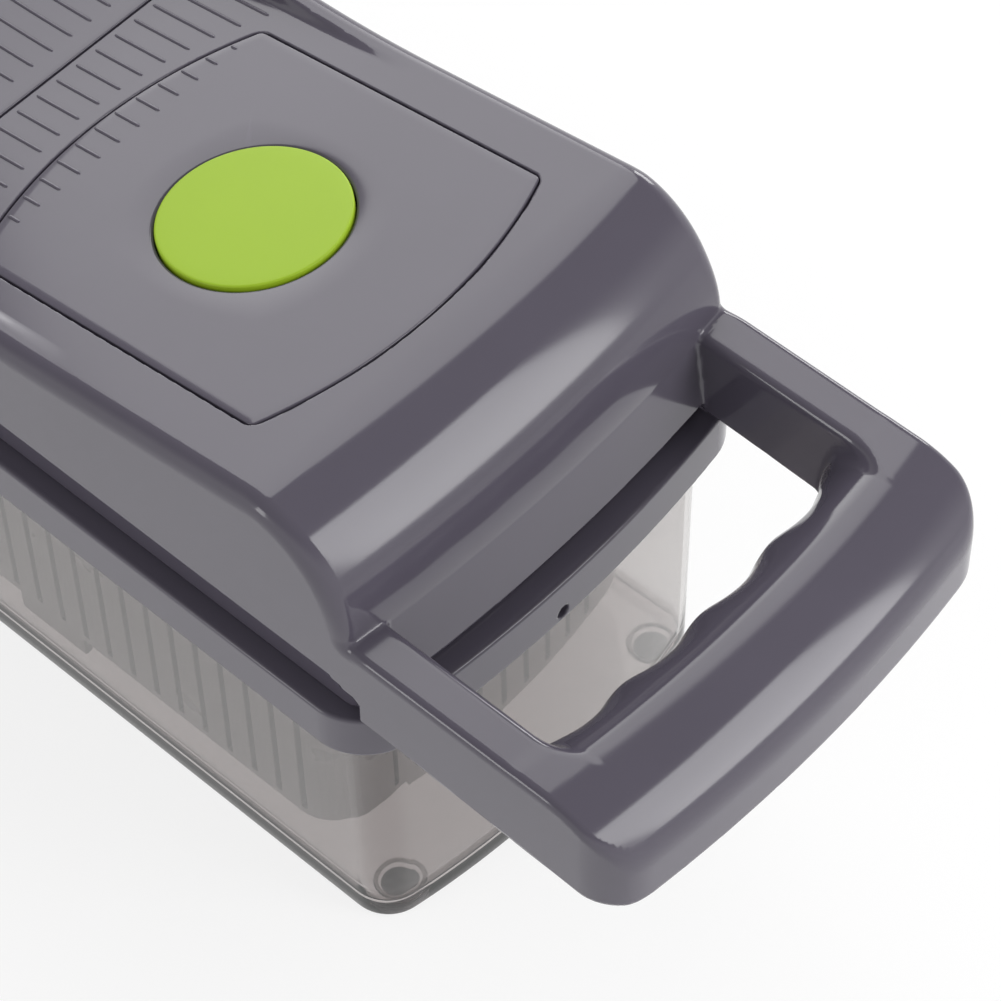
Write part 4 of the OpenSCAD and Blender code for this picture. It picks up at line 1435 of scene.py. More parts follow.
    def knuckles(self, x: Array, y: Array, z: Array) -> Array:
        """Hinge knuckles and the arms that join them to the lid's rear.

        Args:
            x: places along, in millimetres.
            y: places across.
            z: heights.

        Returns:
            The field there.
        """
        along = np.abs(np.abs(y) - self.hinge.knuckle_y) - self.knuckle_half
        link = np.maximum(np.abs(z - self.hinge.z - self.link_lift) - self.link_half,
                          np.abs(x - self.hinge.x - self.link_run) - self.link_run)
        return round_max(self.hinge.barrel(x, z, link), along, self.knuckle_round)

    def field(self, x: Array, y: Array, z: Array) -> Array:
        """The whole moulding.

        Args:
            x: places along, in millimetres.
            y: places across.
            z: heights.

        Returns:
            The field there.
        """
        lip = round_max(self.plan.distance(x, y) + self.lip_in, self.lip_low - z, self.lip_round)
        form = np.minimum(self.outside(x, y, z), np.maximum(lip, z - self.lip_root))
        form = round_max(form, -self.hollow(x, y, z), self.hollow_edge)
        form = round_max(form, -self.grip_hollow(x, y, z), self.grip_edge)
        form = np.minimum(form, self.posts(x, y, z))
        form = round_min(form, self.knuckles(x, y, z), self.knuckle_fillet)
        form = np.maximum(form, self.hinge.bore(x, z))
        u, w = self.top.to_panel(x, z)
        inset = self.panel.distance(u, y) - self.panel_gap
        form = round_max(form, -np.maximum(inset, -self.panel_depth - w), self.panel_edge)
        well = np.hypot(u, y) - self.well_hole
        boss = np.hypot(np.abs(u) - self.boss_u, np.abs(y) - self.boss_v) - self.boss_hole
        form = np.maximum(form, -np.maximum(np.minimum(well, boss), np.abs(w) - self.hole_reach))
        bed = np.maximum(np.abs(y) - self.cover_half - self.panel_gap, x - self.top.seam_x - self.panel_gap)
        bed = np.maximum(bed, self.cover_rear - self.panel_gap - x)
        return round_max(form, -np.maximum(bed, self.top.valley(x) - self.panel_depth - z), self.cover_edge)

    def build(self) -> Object:
        """Meshes the moulding, finest round the panel's edge.

        Returns:
            The piece.
        """
        xs = ruled((-149.2, -126.0, 1.0), (-126.0, -19.0, 1.5), (-19.0, -11.0, 0.5), (-11.0, 1.0, 1.2),
                   (1.0, 15.5, 0.3), (15.5, 86.0, 0.9), (86.0, 101.5, 0.3), (101.5, 203.0, 0.9))
        ys = both_sides(40.6, 0.75, (40.6, 42.8, 0.3), (42.8, 52.5, 1.0), (52.5, 58.5, 0.6))
        zs = ruled((86.0, 112.0, 0.85), (112.0, 141.5, 0.7))
        shell = FieldMesher("lid_shell", self.field, xs, ys, zs).build()
        return settle_in(shell, Body.LID, Slot.GREY, self.finishes[Slot.GREY], "lid")


class GripRibs:
    """Low rounded ribs that run along X."""

    def __init__(self, name: str, width: float = 0.9, height: float = 0.4, sunk: float = 0.06,
                 sides: int = 6) -> None:
        """Starts an empty set.

        Args:
            name: the set's name.
            width: width of a rib.
            height: height of a rib.
            sunk: depth of its foot in the surface.
            sides: steps across a rib's rounded back.
        """
        self.name = name
        self.sunk = sunk
        self.draft = MeshDraft()
        turns = np.linspace(0.0, math.pi, sides + 1)
        self.across = np.stack([-0.5 * width * np.cos(turns), height * np.sin(turns)], axis=1)

    def add(self, start: float, end: float, y: float, height: Callable[[Array], Array],
            steps: int, fade: float = 0.6, tip: float = 0.02) -> None:
        """Adds a rib with rounded ends.

        Args:
            start: first X.
            end: last X.
            y: place across.
            height: height of the surface that it stands on, along X.
            steps: steps along the rib.
            fade: length of each rounded end.
            tip: size of the rib's very end, as a share.
        """
        share = np.linspace(0.0, math.pi, steps + 1)
        xs = (start + end) / 2.0 - (end - start) / 2.0 * np.cos(share)
        size = np.sqrt(np.clip(np.minimum(xs - start, end - xs) / fade, 0.0, 1.0)) * (1.0 - tip) + tip
        rows = []
        for x, scale in zip(xs, size):
            base = float(height(np.array(x)))
            spots = [(x, y + a * scale, base + b * scale - self.sunk) for a, b in self.across]
            rows.append(self.draft.ring(np.array(spots)))
        self.draft.skin(rows, flip=True)
        self.draft.cap(rows[0])
        self.draft.cap(rows[-1], flip=True)

    def build(self, place: Callable[[Array], Array] | None = None) -> Object:
        """Makes the set's object, moved into place where that is asked for.

        Args:
            place: moves the points into the part's frame.

        Returns:
            The piece.
        """
        if place:
            self.draft.spots = [place(spots) for spots in self.draft.spots]
        return by_angle(self.draft.piece(self.name), 50.0)


@dataclass
class TopPanel:
    """Inset panel with the button's bevelled collar, its well and the rear grip ribs."""

    finishes: Finishes
    top: LidTop = LidTop()
    outline: PanelOutline = PanelOutline()
    thick: float = 2.35
    edge_round: float = 0.35
    collar_r: float = 21.45
    well_r: float = 20.65
    collar_drop: float = 0.55
    well_wall: float = 1.6
    well_top: float = -9.6
    well_low: float = -11.2
    guide_r: float = 6.0
    guide_top: float = -6.4
    stem_hole: float = 4.06
    boss_u: float = 33.0
    boss_v: float = 34.0
    boss_r: float = 3.0
    boss_l: float = 2.6
    boss_bore: float = 1.3
    bore_depth: float = 2.0
    boss_steps: int = 28
    face_margin: float = 2.0
    face_steps: int = 4
    rib_pitch: float = 5.7
    rib_count: int = 6
    rib_gap: float = 0.55
    rib_stop: float = -39.4
    rib_steps: int = 10

    def build(self) -> list[Object]:
        """Makes the panel and its ribs.

        Returns:
            The panel and the ribs.
        """
        draft = MeshDraft()
        r = self.edge_round
        edge = [(0.0, -self.thick)] + [(r - a, -b) for a, b in quarter(r, 0.0, r, r, 4)[::-1]]
        rings = [draft.ring(self._spread(self.outline.loop(m), w)) for m, w in edge]
        outer = self.outline.loop(self.face_margin)
        inner = self._circle_facing(outer, self.collar_r)
        face = [draft.ring(self._spread(outer * (1.0 - t) + inner * t, 0.0))
                for t in np.linspace(0.0, 1.0, self.face_steps + 1)]
        down = [draft.ring(self._spread(inner * (radius / self.collar_r), w)) for radius, w in self._well()]
        back = draft.ring(self._spread(self.outline.loop(0.0), -self.thick))
        draft.skin(rings + face + down + [back])
        for u, v in corners(self.boss_u, self.boss_v):
            self._boss(draft, u, v)
        plate = by_angle(draft.piece("inset_panel"), 40.0)
        grey = self.finishes[Slot.GREY]
        settle_in(plate, Body.LID, Slot.GREY, grey, "top_panel")
        ribs = self._ribs()
        settle_in(ribs, Body.LID, Slot.GREY, grey)
        return [plate, ribs]

    def _well(self) -> list[tuple[float, float]]:
        """Section of the collar's bevel, the well, the stem's guide and the well's outside.

        Returns:
            Points of (radius, height), from the face inwards and round to the back.
        """
        collar, well, guide, drop = self.collar_r, self.well_r, self.guide_r, self.collar_drop
        outside = well + self.well_wall
        return [
            (collar - 0.2, -0.05), (collar - 0.36, -0.18), (well + 0.22, -drop + 0.25), (well + 0.05, -drop),
            (well, -drop - 0.4), (well, self.well_top + 0.4), (well - 0.4, self.well_top),
            (guide + 0.3, self.well_top), (guide, self.well_top + 0.3), (guide, self.guide_top),
            (self.stem_hole, self.guide_top), (self.stem_hole, self.well_low), (outside - 0.5, self.well_low),
            (outside, self.well_low + 0.5), (outside, -self.thick),
        ]

    def _spread(self, loop: Array, w: float) -> Array:
        """Places a loop of the panel's plane at a height over it."""
        return self.top.from_panel(np.column_stack([loop, np.full(len(loop), w)]))

    @staticmethod
    def _circle_facing(loop: Array, radius: float) -> Array:
        """Circle whose points lie in the same directions as a loop's points, evened out.

        Args:
            loop: rows of U, V.
            radius: the circle's radius.

        Returns:
            Rows of U, V.
        """
        steps = len(loop)
        turn = np.unwrap(np.arctan2(loop[:, 1], loop[:, 0]))
        even = turn[0] + np.arange(steps) * 2.0 * math.pi / steps
        turn = 0.5 * turn + 0.5 * even
        return radius * np.stack([np.cos(turn), np.sin(turn)], axis=1)

    def _boss(self, draft: MeshDraft, u: float, v: float) -> None:
        """Adds a screw boss under the panel.

        Args:
            draft: the mesh to add to.
            u: place along the panel.
            v: place across it.
        """
        low = -self.thick - self.boss_l
        section = [(self.boss_bore, low + self.bore_depth), (self.boss_bore, low), (self.boss_r - 0.3, low),
                   (self.boss_r, low + 0.3), (self.boss_r, -self.thick + 0.1)]
        place = np.array([u, v, 0.0])
        draft.lathe(section, self.boss_steps, lambda spots: self.top.from_panel(spots + place))

    def _ribs(self) -> Object:
        """Ribs along the panel's rear edge.

        Returns:
            The piece.
        """
        ribs = GripRibs("panel_grip_ribs")
        for k in range(-self.rib_count, self.rib_count + 1):
            v = k * self.rib_pitch
            start = self.outline.rear_edge(v) + self.rib_gap
            ribs.add(start, self.rib_stop, v, np.zeros_like, self.rib_steps)
        return ribs.build(self.top.from_panel)


@dataclass
class RearCover:
    """Ribbed cover of the rear valley, and the ribs on the lid ahead of its seam."""

    finishes: Finishes
    top: LidTop = LidTop()
    outline: PanelOutline = PanelOutline()
    half: float = 47.0
    rear: float = -104.0
    thick: float = 2.35
    edge: float = 0.35
    face_margin: float = 1.5
    rib_pitch: float = 5.7
    rib_count: int = 8
    rib_front: float = -20.2
    rib_rear: float = -99.0
    lid_rib_start: float = -13.2
    lid_rib_gap: float = 4.0
    cover_rib_steps: int = 28
    lid_rib_steps: int = 14

    def build(self) -> list[Object]:
        """Makes the cover and both sets of ribs.

        Returns:
            The cover and the ribs.
        """
        grey = self.finishes[Slot.GREY]
        cover = settle_in(self._plate(), Body.LID, Slot.GREY, grey, "rear_cover")
        behind = GripRibs("cover_grip_ribs")
        ahead = GripRibs("lid_grip_ribs")
        for k in range(-self.rib_count, self.rib_count + 1):
            y = k * self.rib_pitch
            behind.add(self.rib_rear, self.rib_front, y, self.top.valley, self.cover_rib_steps)
            ahead.add(self.lid_rib_start, self._rib_end(y), y, self.top.valley, self.lid_rib_steps)
        sets = [settle_in(ribs.build(), Body.LID, Slot.GREY, grey) for ribs in (behind, ahead)]
        return [cover, *sets]

    def _rib_end(self, y: float) -> float:
        """Front end of a rib of the lid: a curve behind the panel's rear edge."""
        reach = self.outline.rear_edge(y, self.lid_rib_gap)
        return self.top.button_x + reach * math.cos(self.top.slope)

    def _plate(self) -> Object:
        """Curved plate that follows the valley's floor.

        Returns:
            The piece.
        """
        draft = MeshDraft()
        e = self.edge
        section = [(0.0, -self.thick)] + [(e - a, -b) for a, b in quarter(e, 0.0, e, e, 3)[::-1]]
        section.append((self.face_margin, 0.0))
        draft.skin([draft.ring(self._loop(margin, drop)) for margin, drop in section])
        self._sheet(draft, self.face_margin, 0.0, False)
        self._sheet(draft, 0.0, -self.thick, True)
        return by_angle(draft.piece("rear_cover_plate"), 40.0)

    def _loop(self, margin: float, drop: float, steps: int = 40) -> Array:
        """Border of the plate, drawn in by a margin, at a height over the floor.

        Args:
            margin: distance inwards from the border.
            drop: height over the valley's floor.
            steps: steps along each side.

        Returns:
            Rows of X, Y, Z.
        """
        xs = np.linspace(self.rear + margin, self.top.seam_x - margin, steps + 1)
        ys = np.linspace(-self.half + margin, self.half - margin, steps + 1)
        x = np.concatenate([xs[:-1], np.full(steps, xs[-1]), xs[:0:-1], np.full(steps, xs[0])])
        y = np.concatenate([np.full(steps, ys[0]), ys[:-1], np.full(steps, ys[-1]), ys[:0:-1]])
        return np.column_stack([x, y, self.top.valley(x) + drop])

    def _sheet(self, draft: MeshDraft, margin: float, drop: float, flip: bool, steps: int = 40) -> None:
        """Face of the plate, a row of quads at a time.

        Args:
            draft: the mesh to add to.
            margin: distance inwards from the border.
            drop: height over the valley's floor.
            flip: turns the faces over.
            steps: steps along.
        """
        ys = np.linspace(-self.half + margin, self.half - margin, 3)
        xs = np.linspace(self.rear + margin, self.top.seam_x - margin, steps + 1)
        rows = []
        for y in ys:
            rows.append(draft.ring(np.column_stack([xs, np.full_like(xs, y), self.top.valley(xs) + drop])))
        draft.skin(rows, flip, closed=False)


@dataclass
class PushButton:
    """Round button with a low crowned face, a skirt and a stem."""

    finishes: Finishes
    top: LidTop = LidTop()
    radius: float = 20.35
    proud: float = 0.85
    crown: float = 0.15
    rim: float = 0.55
    rim_fall: float = 0.44
    chamfer: float = 0.3
    skirt_low: float = -5.0
    skirt_wall: float = 2.2
    face_thick: float = 1.6
    stem_r: float = 4.0
    groove_r: float = 3.4
    groove_top: float = -11.3
    groove_low: float = -12.5
    stem_low: float = -13.4
    bore_r: float = 2.05
    bore_depth: float = 4.0
    steps: int = 96

    def build(self) -> Object:
        """Turns the button's section about its own axis.

        Returns:
            The piece.
        """
        r, p = self.radius, self.proud
        face = [(t * (r - self.rim), p - self.crown * t * t) for t in (0.02, 0.25, 0.5, 0.75, 0.9, 1.0)]
        rim = quarter(r, p - self.crown, self.rim, -self.rim_fall, 6)[1:]
        skirt, stem, c = r - self.skirt_wall, self.stem_r, self.chamfer
        below = [
            (r, self.skirt_low + c), (r - c, self.skirt_low), (skirt, self.skirt_low),
            (skirt, -self.face_thick), (stem, -self.face_thick), (stem, self.groove_top),
            (self.groove_r, self.groove_top), (self.groove_r, self.groove_low), (stem, self.groove_low),
            (stem, self.stem_low + c), (stem - c, self.stem_low), (self.bore_r, self.stem_low),
            (self.bore_r, self.stem_low + self.bore_depth),
        ]
        draft = MeshDraft()
        rings = draft.lathe((face + rim + below)[::-1], self.steps, self.top.from_panel)
        draft.cap(rings[-1])
        draft.cap(rings[0], flip=True)
        button = by_angle(draft.piece("push_button"), 40.0)
        return settle_in(button, Body.BUTTON, Slot.GREEN, self.finishes[Slot.GREEN], "button")


@dataclass
class ButtonSpring:
    """Coil spring between the floor of the well and the button."""

    finishes: Finishes
    top: LidTop = LidTop()
    radius: float = 8.0
    wire: float = 0.6
    curls: int = 4
    low: float = -8.9
    high: float = -2.3
    steps: int = 40
    sides: int = 10

    def build(self) -> Object:
        """Winds the wire from the floor of the well up under the button.

        Returns:
            The piece.
        """
        draft = MeshDraft()
        around = np.linspace(0.0, 2.0 * math.pi, self.sides, endpoint=False)
        reach, lift = self.radius + self.wire * np.cos(around), self.wire * np.sin(around)
        rings = []
        for share in np.linspace(0.0, 1.0, self.curls * self.steps + 1):
            turn = 2.0 * math.pi * self.curls * share
            height = self.low + (self.high - self.low) * share
            spots = np.stack([reach * math.cos(turn), reach * math.sin(turn), height + lift], axis=1)
            rings.append(draft.ring(self.top.from_panel(spots)))
        draft.skin(rings, flip=True)
        draft.cap(rings[0])
        draft.cap(rings[-1], flip=True)
        spring = draft.piece("coil_spring")
        spring.data.materials.append(self.finishes[Slot.BRIGHT])
        foot, head = self.top.from_panel(np.array([(0.0, 0.0, self.low), (0.0, 0.0, self.high)])) * MM
        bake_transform(spring)
        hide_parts("button_spring")
        LOG.info("%s joins %s and %s", spring.name, Body.LID.value, Body.BUTTON.value)
        return spring


# Frame and container


@dataclass
class CuttingFrame:
    """Frame on the container's rim: deck, rounded outer band, dicing pocket, lock rails and hinge ears."""

    finishes: Finishes
    plan: Outline = Outline(-137.3, 137.3, 58.5, 340.0, 11.5)
    deck_low: float = 86.4
    deck_top: float = 88.7
    band_low: float = 76.3
    band_wall: float = 2.0
    top_round: float = 0.8
    low_round: float = 0.7
    band_fillet: float = 1.0
    band_edge: float = 0.5
    pocket_x: float = 51.0
    pocket_half: float = 46.3
    pocket_wall: float = 2.0
    pocket_low: float = 75.1
    pocket_sink: float = 0.1
    pocket_edge: float = 0.4
    ledge_top: float = 77.1
    ledge_wide: float = 3.2
    detent_y: float = -4.6
    detent_z: float = 79.0
    detent_r: float = 1.6
    detent_x: float = 120.0
    detent_edge: float = 0.25
    lock_start: float = 99.0
    lock_end: float = 113.0
    lock_half: float = 8.0
    rail_top: float = 92.9
    rail_half: float = 1.0
    rail_gap: float = 1.3
    rail_round: float = 0.3
    hook_in: float = 0.2
    hook_half: float = 0.95
    hinge: RearHinge = RearHinge()
    ear_offset: float = 9.5
    ear_half: float = 3.5
    ear_run: float = 3.4
    ear_low: float = 82.4
    ear_round: float = 0.5
    ear_fillet: float = 0.8

    def ears(self, x: Array, y: Array, z: Array) -> Array:
        """Ears on both sides of each hinge knuckle.

        Args:
            x: places along, in millimetres.
            y: places across.
            z: heights.

        Returns:
            The field there.
        """
        along = np.abs(np.abs(np.abs(y) - self.hinge.knuckle_y) - self.ear_offset) - self.ear_half
        foot = np.maximum(np.abs(x - self.hinge.x - self.ear_run) - self.ear_run,
                          np.maximum(z - self.hinge.z, self.ear_low - z))
        return round_max(self.hinge.barrel(x, z, foot), along, self.ear_round)

    def rails(self, x: Array, y: Array, z: Array) -> Array:
        """Hooked rails that guide the blade lock.

        Args:
            x: places along, in millimetres.
            y: places across.
            z: heights.

        Returns:
            The field there.
        """
        run = np.maximum(self.lock_start - x, x - self.lock_end)
        side = np.abs(y) - self.lock_half
        post = np.maximum(np.abs(side - self.rail_gap) - self.rail_half, z - self.rail_top)
        hook = np.maximum(np.abs(side + self.hook_in) - self.rail_half,
                          np.abs(z - self.rail_top + self.hook_half) - self.hook_half)
        return round_max(np.maximum(np.minimum(post, hook), self.deck_low - z), run, self.rail_round)

    def field(self, x: Array, y: Array, z: Array) -> Array:
        """The whole moulding.

        Args:
            x: places along, in millimetres.
            y: places across.
            z: heights.

        Returns:
            The field there.
        """
        edge = self.plan.distance(x, y)
        body = round_max(edge, z - self.deck_top, self.top_round)
        under = round_max(edge + self.band_wall, z - self.deck_low, self.band_fillet)
        band = round_max(round_max(body, self.band_low - z, self.low_round), -under, self.band_edge)
        across = np.maximum(np.abs(x - self.pocket_x), np.abs(y))
        walls = np.maximum(across - self.pocket_half - self.pocket_wall, z - self.deck_top + self.pocket_sink)
        form = np.minimum(band, np.maximum(walls, self.pocket_low - z))
        form = np.minimum(form, self.rails(x, y, z))
        form = round_min(form, self.ears(x, y, z), self.ear_fillet)
        pocket = np.maximum(across - self.pocket_half, self.ledge_top - z)
        form = round_max(form, -pocket, self.pocket_edge)
        form = round_max(form, self.pocket_half - self.ledge_wide - across, self.pocket_edge)
        hole = np.hypot(y - self.detent_y, z - self.detent_z) - self.detent_r
        form = round_max(form, -np.maximum(hole, self.detent_x - x), self.detent_edge)
        return np.maximum(form, self.hinge.bore(x, z))

    def build(self) -> Object:
        """Meshes the moulding, finest round the lock rails and the detent hole.

        Returns:
            The piece.
        """
        xs = ruled((-149.0, -135.0, 0.8), (-135.0, 0.0, 2.0), (0.0, 96.0, 1.0), (96.0, 128.0, 0.7),
                   (128.0, 140.0, 0.5))
        ys = both_sides(12.0, 0.5, (12.0, 54.0, 1.0), (54.0, 60.5, 0.6))
        zs = ruled((73.5, 84.0, 0.55), (84.0, 98.5, 0.5))
        shape = FieldMesher("cutting_frame_moulding", self.field, xs, ys, zs).build()
        return settle_in(shape, Body.FRAME, Slot.GREY, self.finishes[Slot.GREY], "cutting_frame")


@dataclass
class ClearContainer:
    """Clear container: slightly tapered walls, thick rounded floor, rim flange and foot pad bosses."""

    finishes: Finishes
    length: float = 267.2
    bow: float = 220.0
    corner: float = 10.0
    half: float = 51.2
    taper: float = 0.4
    low: float = 0.8
    high: float = 86.3
    wall: float = 2.4
    wall_steps: int = 12
    floor_top: float = 3.8
    floor_round: float = 3.0
    rim_half: float = 55.4
    rim_low: float = 83.3
    rim_out: float = 4.2
    flange_from: float = -1.0
    rim_ends: float = 0.6
    rim_grow: float = 1.003
    brim_edge: float = 0.4
    foot_x: float = 121.6
    foot_y: float = 40.4
    foot_r: float = 4.0
    pad_top: float = 1.95
    boss_r: float = 5.6
    boss_h: float = 0.6
    boss_wall: float = 1.1
    boss_steps: int = 48
    pad_steps: int = 40
    low_round: float = 1.8

    def outline(self) -> Outline:
        """Plan outline at half height."""
        reach = self.length / 2.0
        return Outline(-reach, reach, self.half, self.bow, self.corner, corner_steps=12, bow_steps=32)

    def build(self) -> list[Object]:
        """Makes the container and its foot pads.

        Returns:
            Both pieces.
        """
        clear = settle_in(self._shell(), Body.BASE, Slot.CLEAR, self.finishes[Slot.CLEAR], "container")
        pads = settle_in(self._pads(), Body.BASE, Slot.FOOT, self.finishes[Slot.FOOT], "foot_pads")
        return [clear, pads]

    def _shell(self) -> Object:
        """Lofts the section of the walls along the plan outline.

        Returns:
            The piece.
        """
        plan = self.outline()
        draft = MeshDraft()
        t, w, top, rim = self.taper, self.wall, self.high, self.rim_low
        inner = quarter(w + t, self.floor_top, -self.floor_round, self.floor_round, 6)
        levels = np.linspace(self.floor_top + self.floor_round, top - self.brim_edge, self.wall_steps)[1:]
        inner += [(w + self._lean(z), z) for z in levels]
        out, ease = self.rim_out, self._lean(rim)
        brim = [(w + self._lean(top) - self.brim_edge, top), (-0.2, top), (0.2 - out, top), (-out, top - 0.3),
                (-out, rim + 0.3), (0.2 - out, rim), (ease - 0.4, rim), (ease, rim - 0.5)]
        outer = [(self._lean(z), z) for z in np.linspace(rim - 3.0, self.low + 4.0, self.wall_steps)]
        base = [(m, z) for z, m in quarter(self.low, t, -self.low_round, self.low_round, 8)[1:]]
        rows = [draft.ring(self._ring(plan, m, z)) for m, z in inner + brim + outer + base]
        draft.skin(rows, flip=True)
        draft.cap(rows[0])
        draft.cap(rows[-1], flip=True)
        self._bosses(draft)
        return by_angle(draft.piece("clear_container"), 35.0)

    def _lean(self, z: float) -> float:
        """Margin of the tapered wall at a height."""
        return self.taper * (1.0 - 2.0 * (z - self.low) / (self.high - self.low))

    def _bosses(self, draft: MeshDraft) -> None:
        """Adds a low round ridge over each foot pad, on the floor.

        Args:
            draft: the mesh to add to.
        """
        outer, inner = self.boss_r, self.boss_r - self.boss_wall
        foot, top = self.floor_top - 0.05, self.floor_top + self.boss_h
        section = [(outer, foot), (outer - 0.1, top - 0.3), (outer - 0.35, top), (inner + 0.35, top),
                   (inner + 0.1, top - 0.3), (inner, foot)]
        for x, y in corners(self.foot_x, self.foot_y):
            rings = draft.lathe(section, self.boss_steps, lambda spots: spots + np.array([x, y, 0.0]))
            draft.bridge(rings[-1], rings[0])

    def _ring(self, plan: Outline, margin: float, z: float) -> Array:
        """One ring of the section; the rim's flange keeps to the frame's inside at the ends.

        Args:
            plan: the outline at half height.
            margin: distance inwards from it.
            z: height of the ring.

        Returns:
            Rows of X, Y, Z.
        """
        loop = plan.loop(margin)
        if margin < self.flange_from:
            reach = self.length / 2.0 + self.rim_ends
            x, y = plan.loop(0.0).T
            sides = np.sign(y) * np.minimum(np.abs(y) * self.rim_half / self.half, -margin + self.half)
            loop = np.column_stack([np.clip(x * self.rim_grow, -reach, reach), sides])
        return np.column_stack([loop, np.full(len(loop), z)])

    def _pads(self) -> Object:
        """Round pads with a raised ring, let into the floor's underside.

        Returns:
            The piece.
        """
        draft = MeshDraft()
        r, h = self.foot_r, self.pad_top
        section = [(0.05, 0.0), (r - 0.5, 0.0), (r - 0.15, 0.12), (r, 0.45), (r, h - 0.1), (r - 0.15, h),
                   (0.05, h)]
        for x, y in corners(self.foot_x, self.foot_y):
            rings = draft.lathe(section, self.pad_steps, lambda spots: spots + np.array([x, y, 0.0]))
            draft.cap(rings[0], flip=True)
            draft.cap(rings[-1])
        return by_angle(draft.piece("round_foot_pads"), 40.0)


class KeptSolids:
    """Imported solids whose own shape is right: each gets a finish and finely broken edges."""

    PLAN = {
        "drain_basket": (Slot.SMOKE, 0.35),
        "blade_carrier": (Slot.DARK, 0.4),
        "blades_long": (Slot.BLADE, 0.0),
        "blades_cross": (Slot.BLADE, 0.0),
        "blade_lock": (Slot.INNER, 0.3),
        "hinge_pins": (Slot.BRIGHT, 0.25),
        "panel_screws": (Slot.BRIGHT, 0.2),
        "cover_screws": (Slot.BRIGHT, 0.2),
        "button_clip": (Slot.BRIGHT, 0.1),
        "release_cam": (Slot.DARK, 0.2),
        "latch_left": (Slot.DARK, 0.25),
        "latch_right": (Slot.DARK, 0.25),
        "latch_bridge": (Slot.INNER, 0.25),
        "bridge_screws": (Slot.BRIGHT, 0.2),
        "press_plate": (Slot.WHITE, 0.25),
        "stripper_grid": (Slot.GREEN, 0.2),
    }
    WELD = 0.002
    SHARP = math.radians(35.0)

    def __init__(self, finishes: Finishes) -> None:
        """Keeps the finishes."""
        self.finishes = finishes

    def dress(self) -> None:
        """Sets each solid's material and softens its edges."""
        for name, (slot, edge) in self.PLAN.items():
            solid = frame["nodes"][name]
            solid.data.materials.clear()
            solid.data.materials.append(self.finishes[slot])
            if edge:
                self._break_edges(solid, edge)
            LOG.info("%s keeps its solid, in %s", name, slot.value)

    def _break_edges(self, solid: Object, width: float) -> None:
        """Welds the solid's faces and rounds its sharp edges.

        Args:
            solid: the solid.
            width: width of the rounded edge.
        """
        weld = solid.modifiers.new("weld", "WELD")
        weld.merge_threshold = self.WELD * MM
        bevel = solid.modifiers.new("edges", "BEVEL")
        bevel.width = width * MM
        bevel.segments = 2
        bevel.limit_method = "ANGLE"
        bevel.angle_limit = self.SHARP
        bevel.harden_normals = True


# Studio


@dataclass(frozen=True)
class SoftBox:
    """Rectangular lamp: its place, the point that it faces, its width and height in metres, and its watts."""

    name: str
    place: tuple[float, float, float]
    target: tuple[float, float, float]
    size: tuple[float, float]
    power: float

    def build(self) -> None:
        """Adds the lamp."""
        data = bpy.data.lights.new(self.name, "AREA")
        data.shape = "RECTANGLE"
        data.size, data.size_y = self.size
        data.energy = self.power
        lamp = bpy.data.objects.new(self.name, data)
        lamp.location = self.place
        lamp.rotation_euler = (Vector(self.target) - Vector(self.place)).to_track_quat("-Z", "Y").to_euler()
        bpy.context.collection.objects.link(lamp)


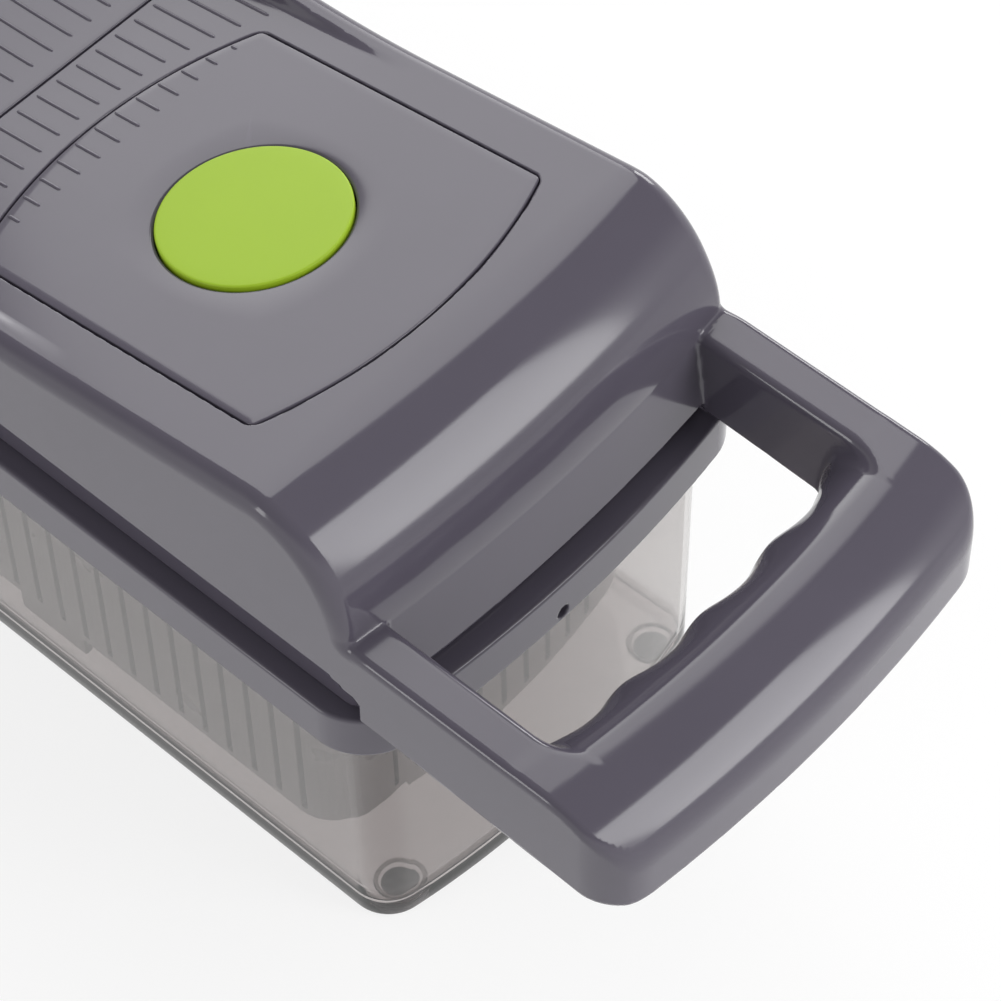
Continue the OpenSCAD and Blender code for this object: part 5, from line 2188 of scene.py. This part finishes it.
@dataclass
class Studio:
    """Camera at the photograph's viewpoint, pale floor, white surroundings and soft boxes."""

    eye: tuple[float, float, float] = (434.85, -337.86, 729.77)
    azimuth: float = math.radians(43.309)
    elevation: float = math.radians(53.894)
    roll: float = math.radians(-1.5588)
    lens: float = 141.454
    sensor: float = 36.0
    clip: tuple[float, float] = (0.02, 40.0)
    floor_size: float = 6.0
    floor_colour: Colour = (0.93, 0.93, 0.93)
    floor_roughness: float = 0.9
    white: Colour = (1.0, 1.0, 1.0)
    sky: float = 0.6
    ceiling: float = 0.28
    floor_shadow: float = 0.2
    lamps: tuple[SoftBox, ...] = (
        SoftBox("front_box", (1.195, 0.462, 0.692), (0.12, -0.015, 0.13), (0.55, 1.02), 9.5),
        SoftBox("far_box", (-1.084, 1.022, 1.004), (0.036, 0.252, -0.076), (0.9, 2.1), 15.2),
        SoftBox("side_box", (-0.38, -1.3, 0.58), (0.1, -0.05, 0.1), (0.36, 0.5), 2.3),
        SoftBox("edge_box", (-0.29, 1.17, 0.465), (0.16, -0.05, 0.112), (0.45, 0.4), 3.4),
    )

    def build(self) -> None:
        """Sets the camera, the floor, the surroundings and the lamps."""
        bpy.context.scene.view_settings.view_transform = "Standard"
        self._camera()
        self._floor()
        self._surroundings()
        for lamp in self.lamps:
            lamp.build()

    def _camera(self) -> None:
        """Camera from its azimuth, elevation and roll."""
        a, e = self.azimuth, self.elevation
        back = Vector((math.sin(a) * math.cos(e), -math.cos(a) * math.cos(e), math.sin(e)))
        right = (-back).cross(Vector((0.0, 0.0, 1.0))).normalized()
        up = right.cross(-back)
        across = right * math.cos(self.roll) + up * math.sin(self.roll)
        upright = up * math.cos(self.roll) - right * math.sin(self.roll)
        camera = bpy.data.objects.new("camera", bpy.data.cameras.new("camera"))
        camera.data.lens = self.lens
        camera.data.sensor_width = self.sensor
        camera.data.sensor_fit = "HORIZONTAL"
        camera.data.clip_start, camera.data.clip_end = self.clip
        turn = Matrix((across, upright, back)).transposed()
        camera.matrix_world = Matrix.Translation(Vector(self.eye) * MM) @ turn.to_4x4()
        bpy.context.collection.objects.link(camera)
        bpy.context.scene.camera = camera

    def _floor(self) -> None:
        """Pale floor that is white to the camera but for the object's soft shadow."""
        half = self.floor_size / 2.0 / MM
        spots = half * np.array([(-1.0, -1.0, 0.0), (1.0, -1.0, 0.0), (1.0, 1.0, 0.0), (-1.0, 1.0, 0.0)])
        floor = new_object("studio_floor", spots, [[0, 1, 2, 3]])
        material, sheet, shader, output = new_material(
            "pale_floor", Base_Color=rgba(self.floor_colour), Roughness=self.floor_roughness)
        glow = sheet.add("ShaderNodeEmission", Color=rgba(self.white))
        sheet.blend(self._seen(sheet, 1.0 - self.floor_shadow), shader, glow, output)
        floor.data.materials.append(material)

    @staticmethod
    def _seen(sheet: NodeSheet, share: float) -> NodeSocket:
        """Share for rays that look at the background: from the camera, in a mirror or through glass.

        Args:
            sheet: the sheet to add to.
            share: the share for such rays.

        Returns:
            The share.
        """
        path = sheet.add("ShaderNodeLightPath")
        looks = sheet.maths("MAXIMUM", path.outputs["Is Camera Ray"], path.outputs["Is Glossy Ray"])
        looks = sheet.maths("MAXIMUM", looks, path.outputs["Is Transmission Ray"])
        return sheet.maths("MULTIPLY", looks, share)

    def _surroundings(self) -> None:
        """White background, and a softer light from it on the object."""
        world = bpy.data.worlds.new("studio_world")
        bpy.context.scene.world = world
        world.use_nodes = True
        sheet = NodeSheet(world.node_tree)
        world.node_tree.nodes.clear()
        backdrop = sheet.spread(sheet.height("Generated"), 1.0, self.ceiling, start=0.25, end=0.6)
        light = sheet.add("ShaderNodeMix", data_type="FLOAT")
        for socket, value in ((0, self._seen(sheet, 1.0)), (MIX_FLOAT_A, self.sky), (MIX_FLOAT_B, backdrop)):
            sheet.feed(light.inputs[socket], value)
        sky = sheet.add("ShaderNodeBackground", Color=rgba(self.white), Strength=light.outputs[0])
        sheet.add("ShaderNodeOutputWorld", Surface=sky.outputs[0])


def main() -> None:
    """Builds the studio and the chopper's pieces in order."""
    logging.basicConfig(level=logging.INFO, format="%(name)s: %(message)s")
    Studio().build()
    finishes = Finishes()
    ClearContainer(finishes).build()
    CuttingFrame(finishes).build()
    LidShell(finishes).build()
    TopPanel(finishes).build()
    RearCover(finishes).build()
    PushButton(finishes).build()
    ButtonSpring(finishes).build()
    KeptSolids(finishes).dress()


if __name__ == "__main__":
    main()
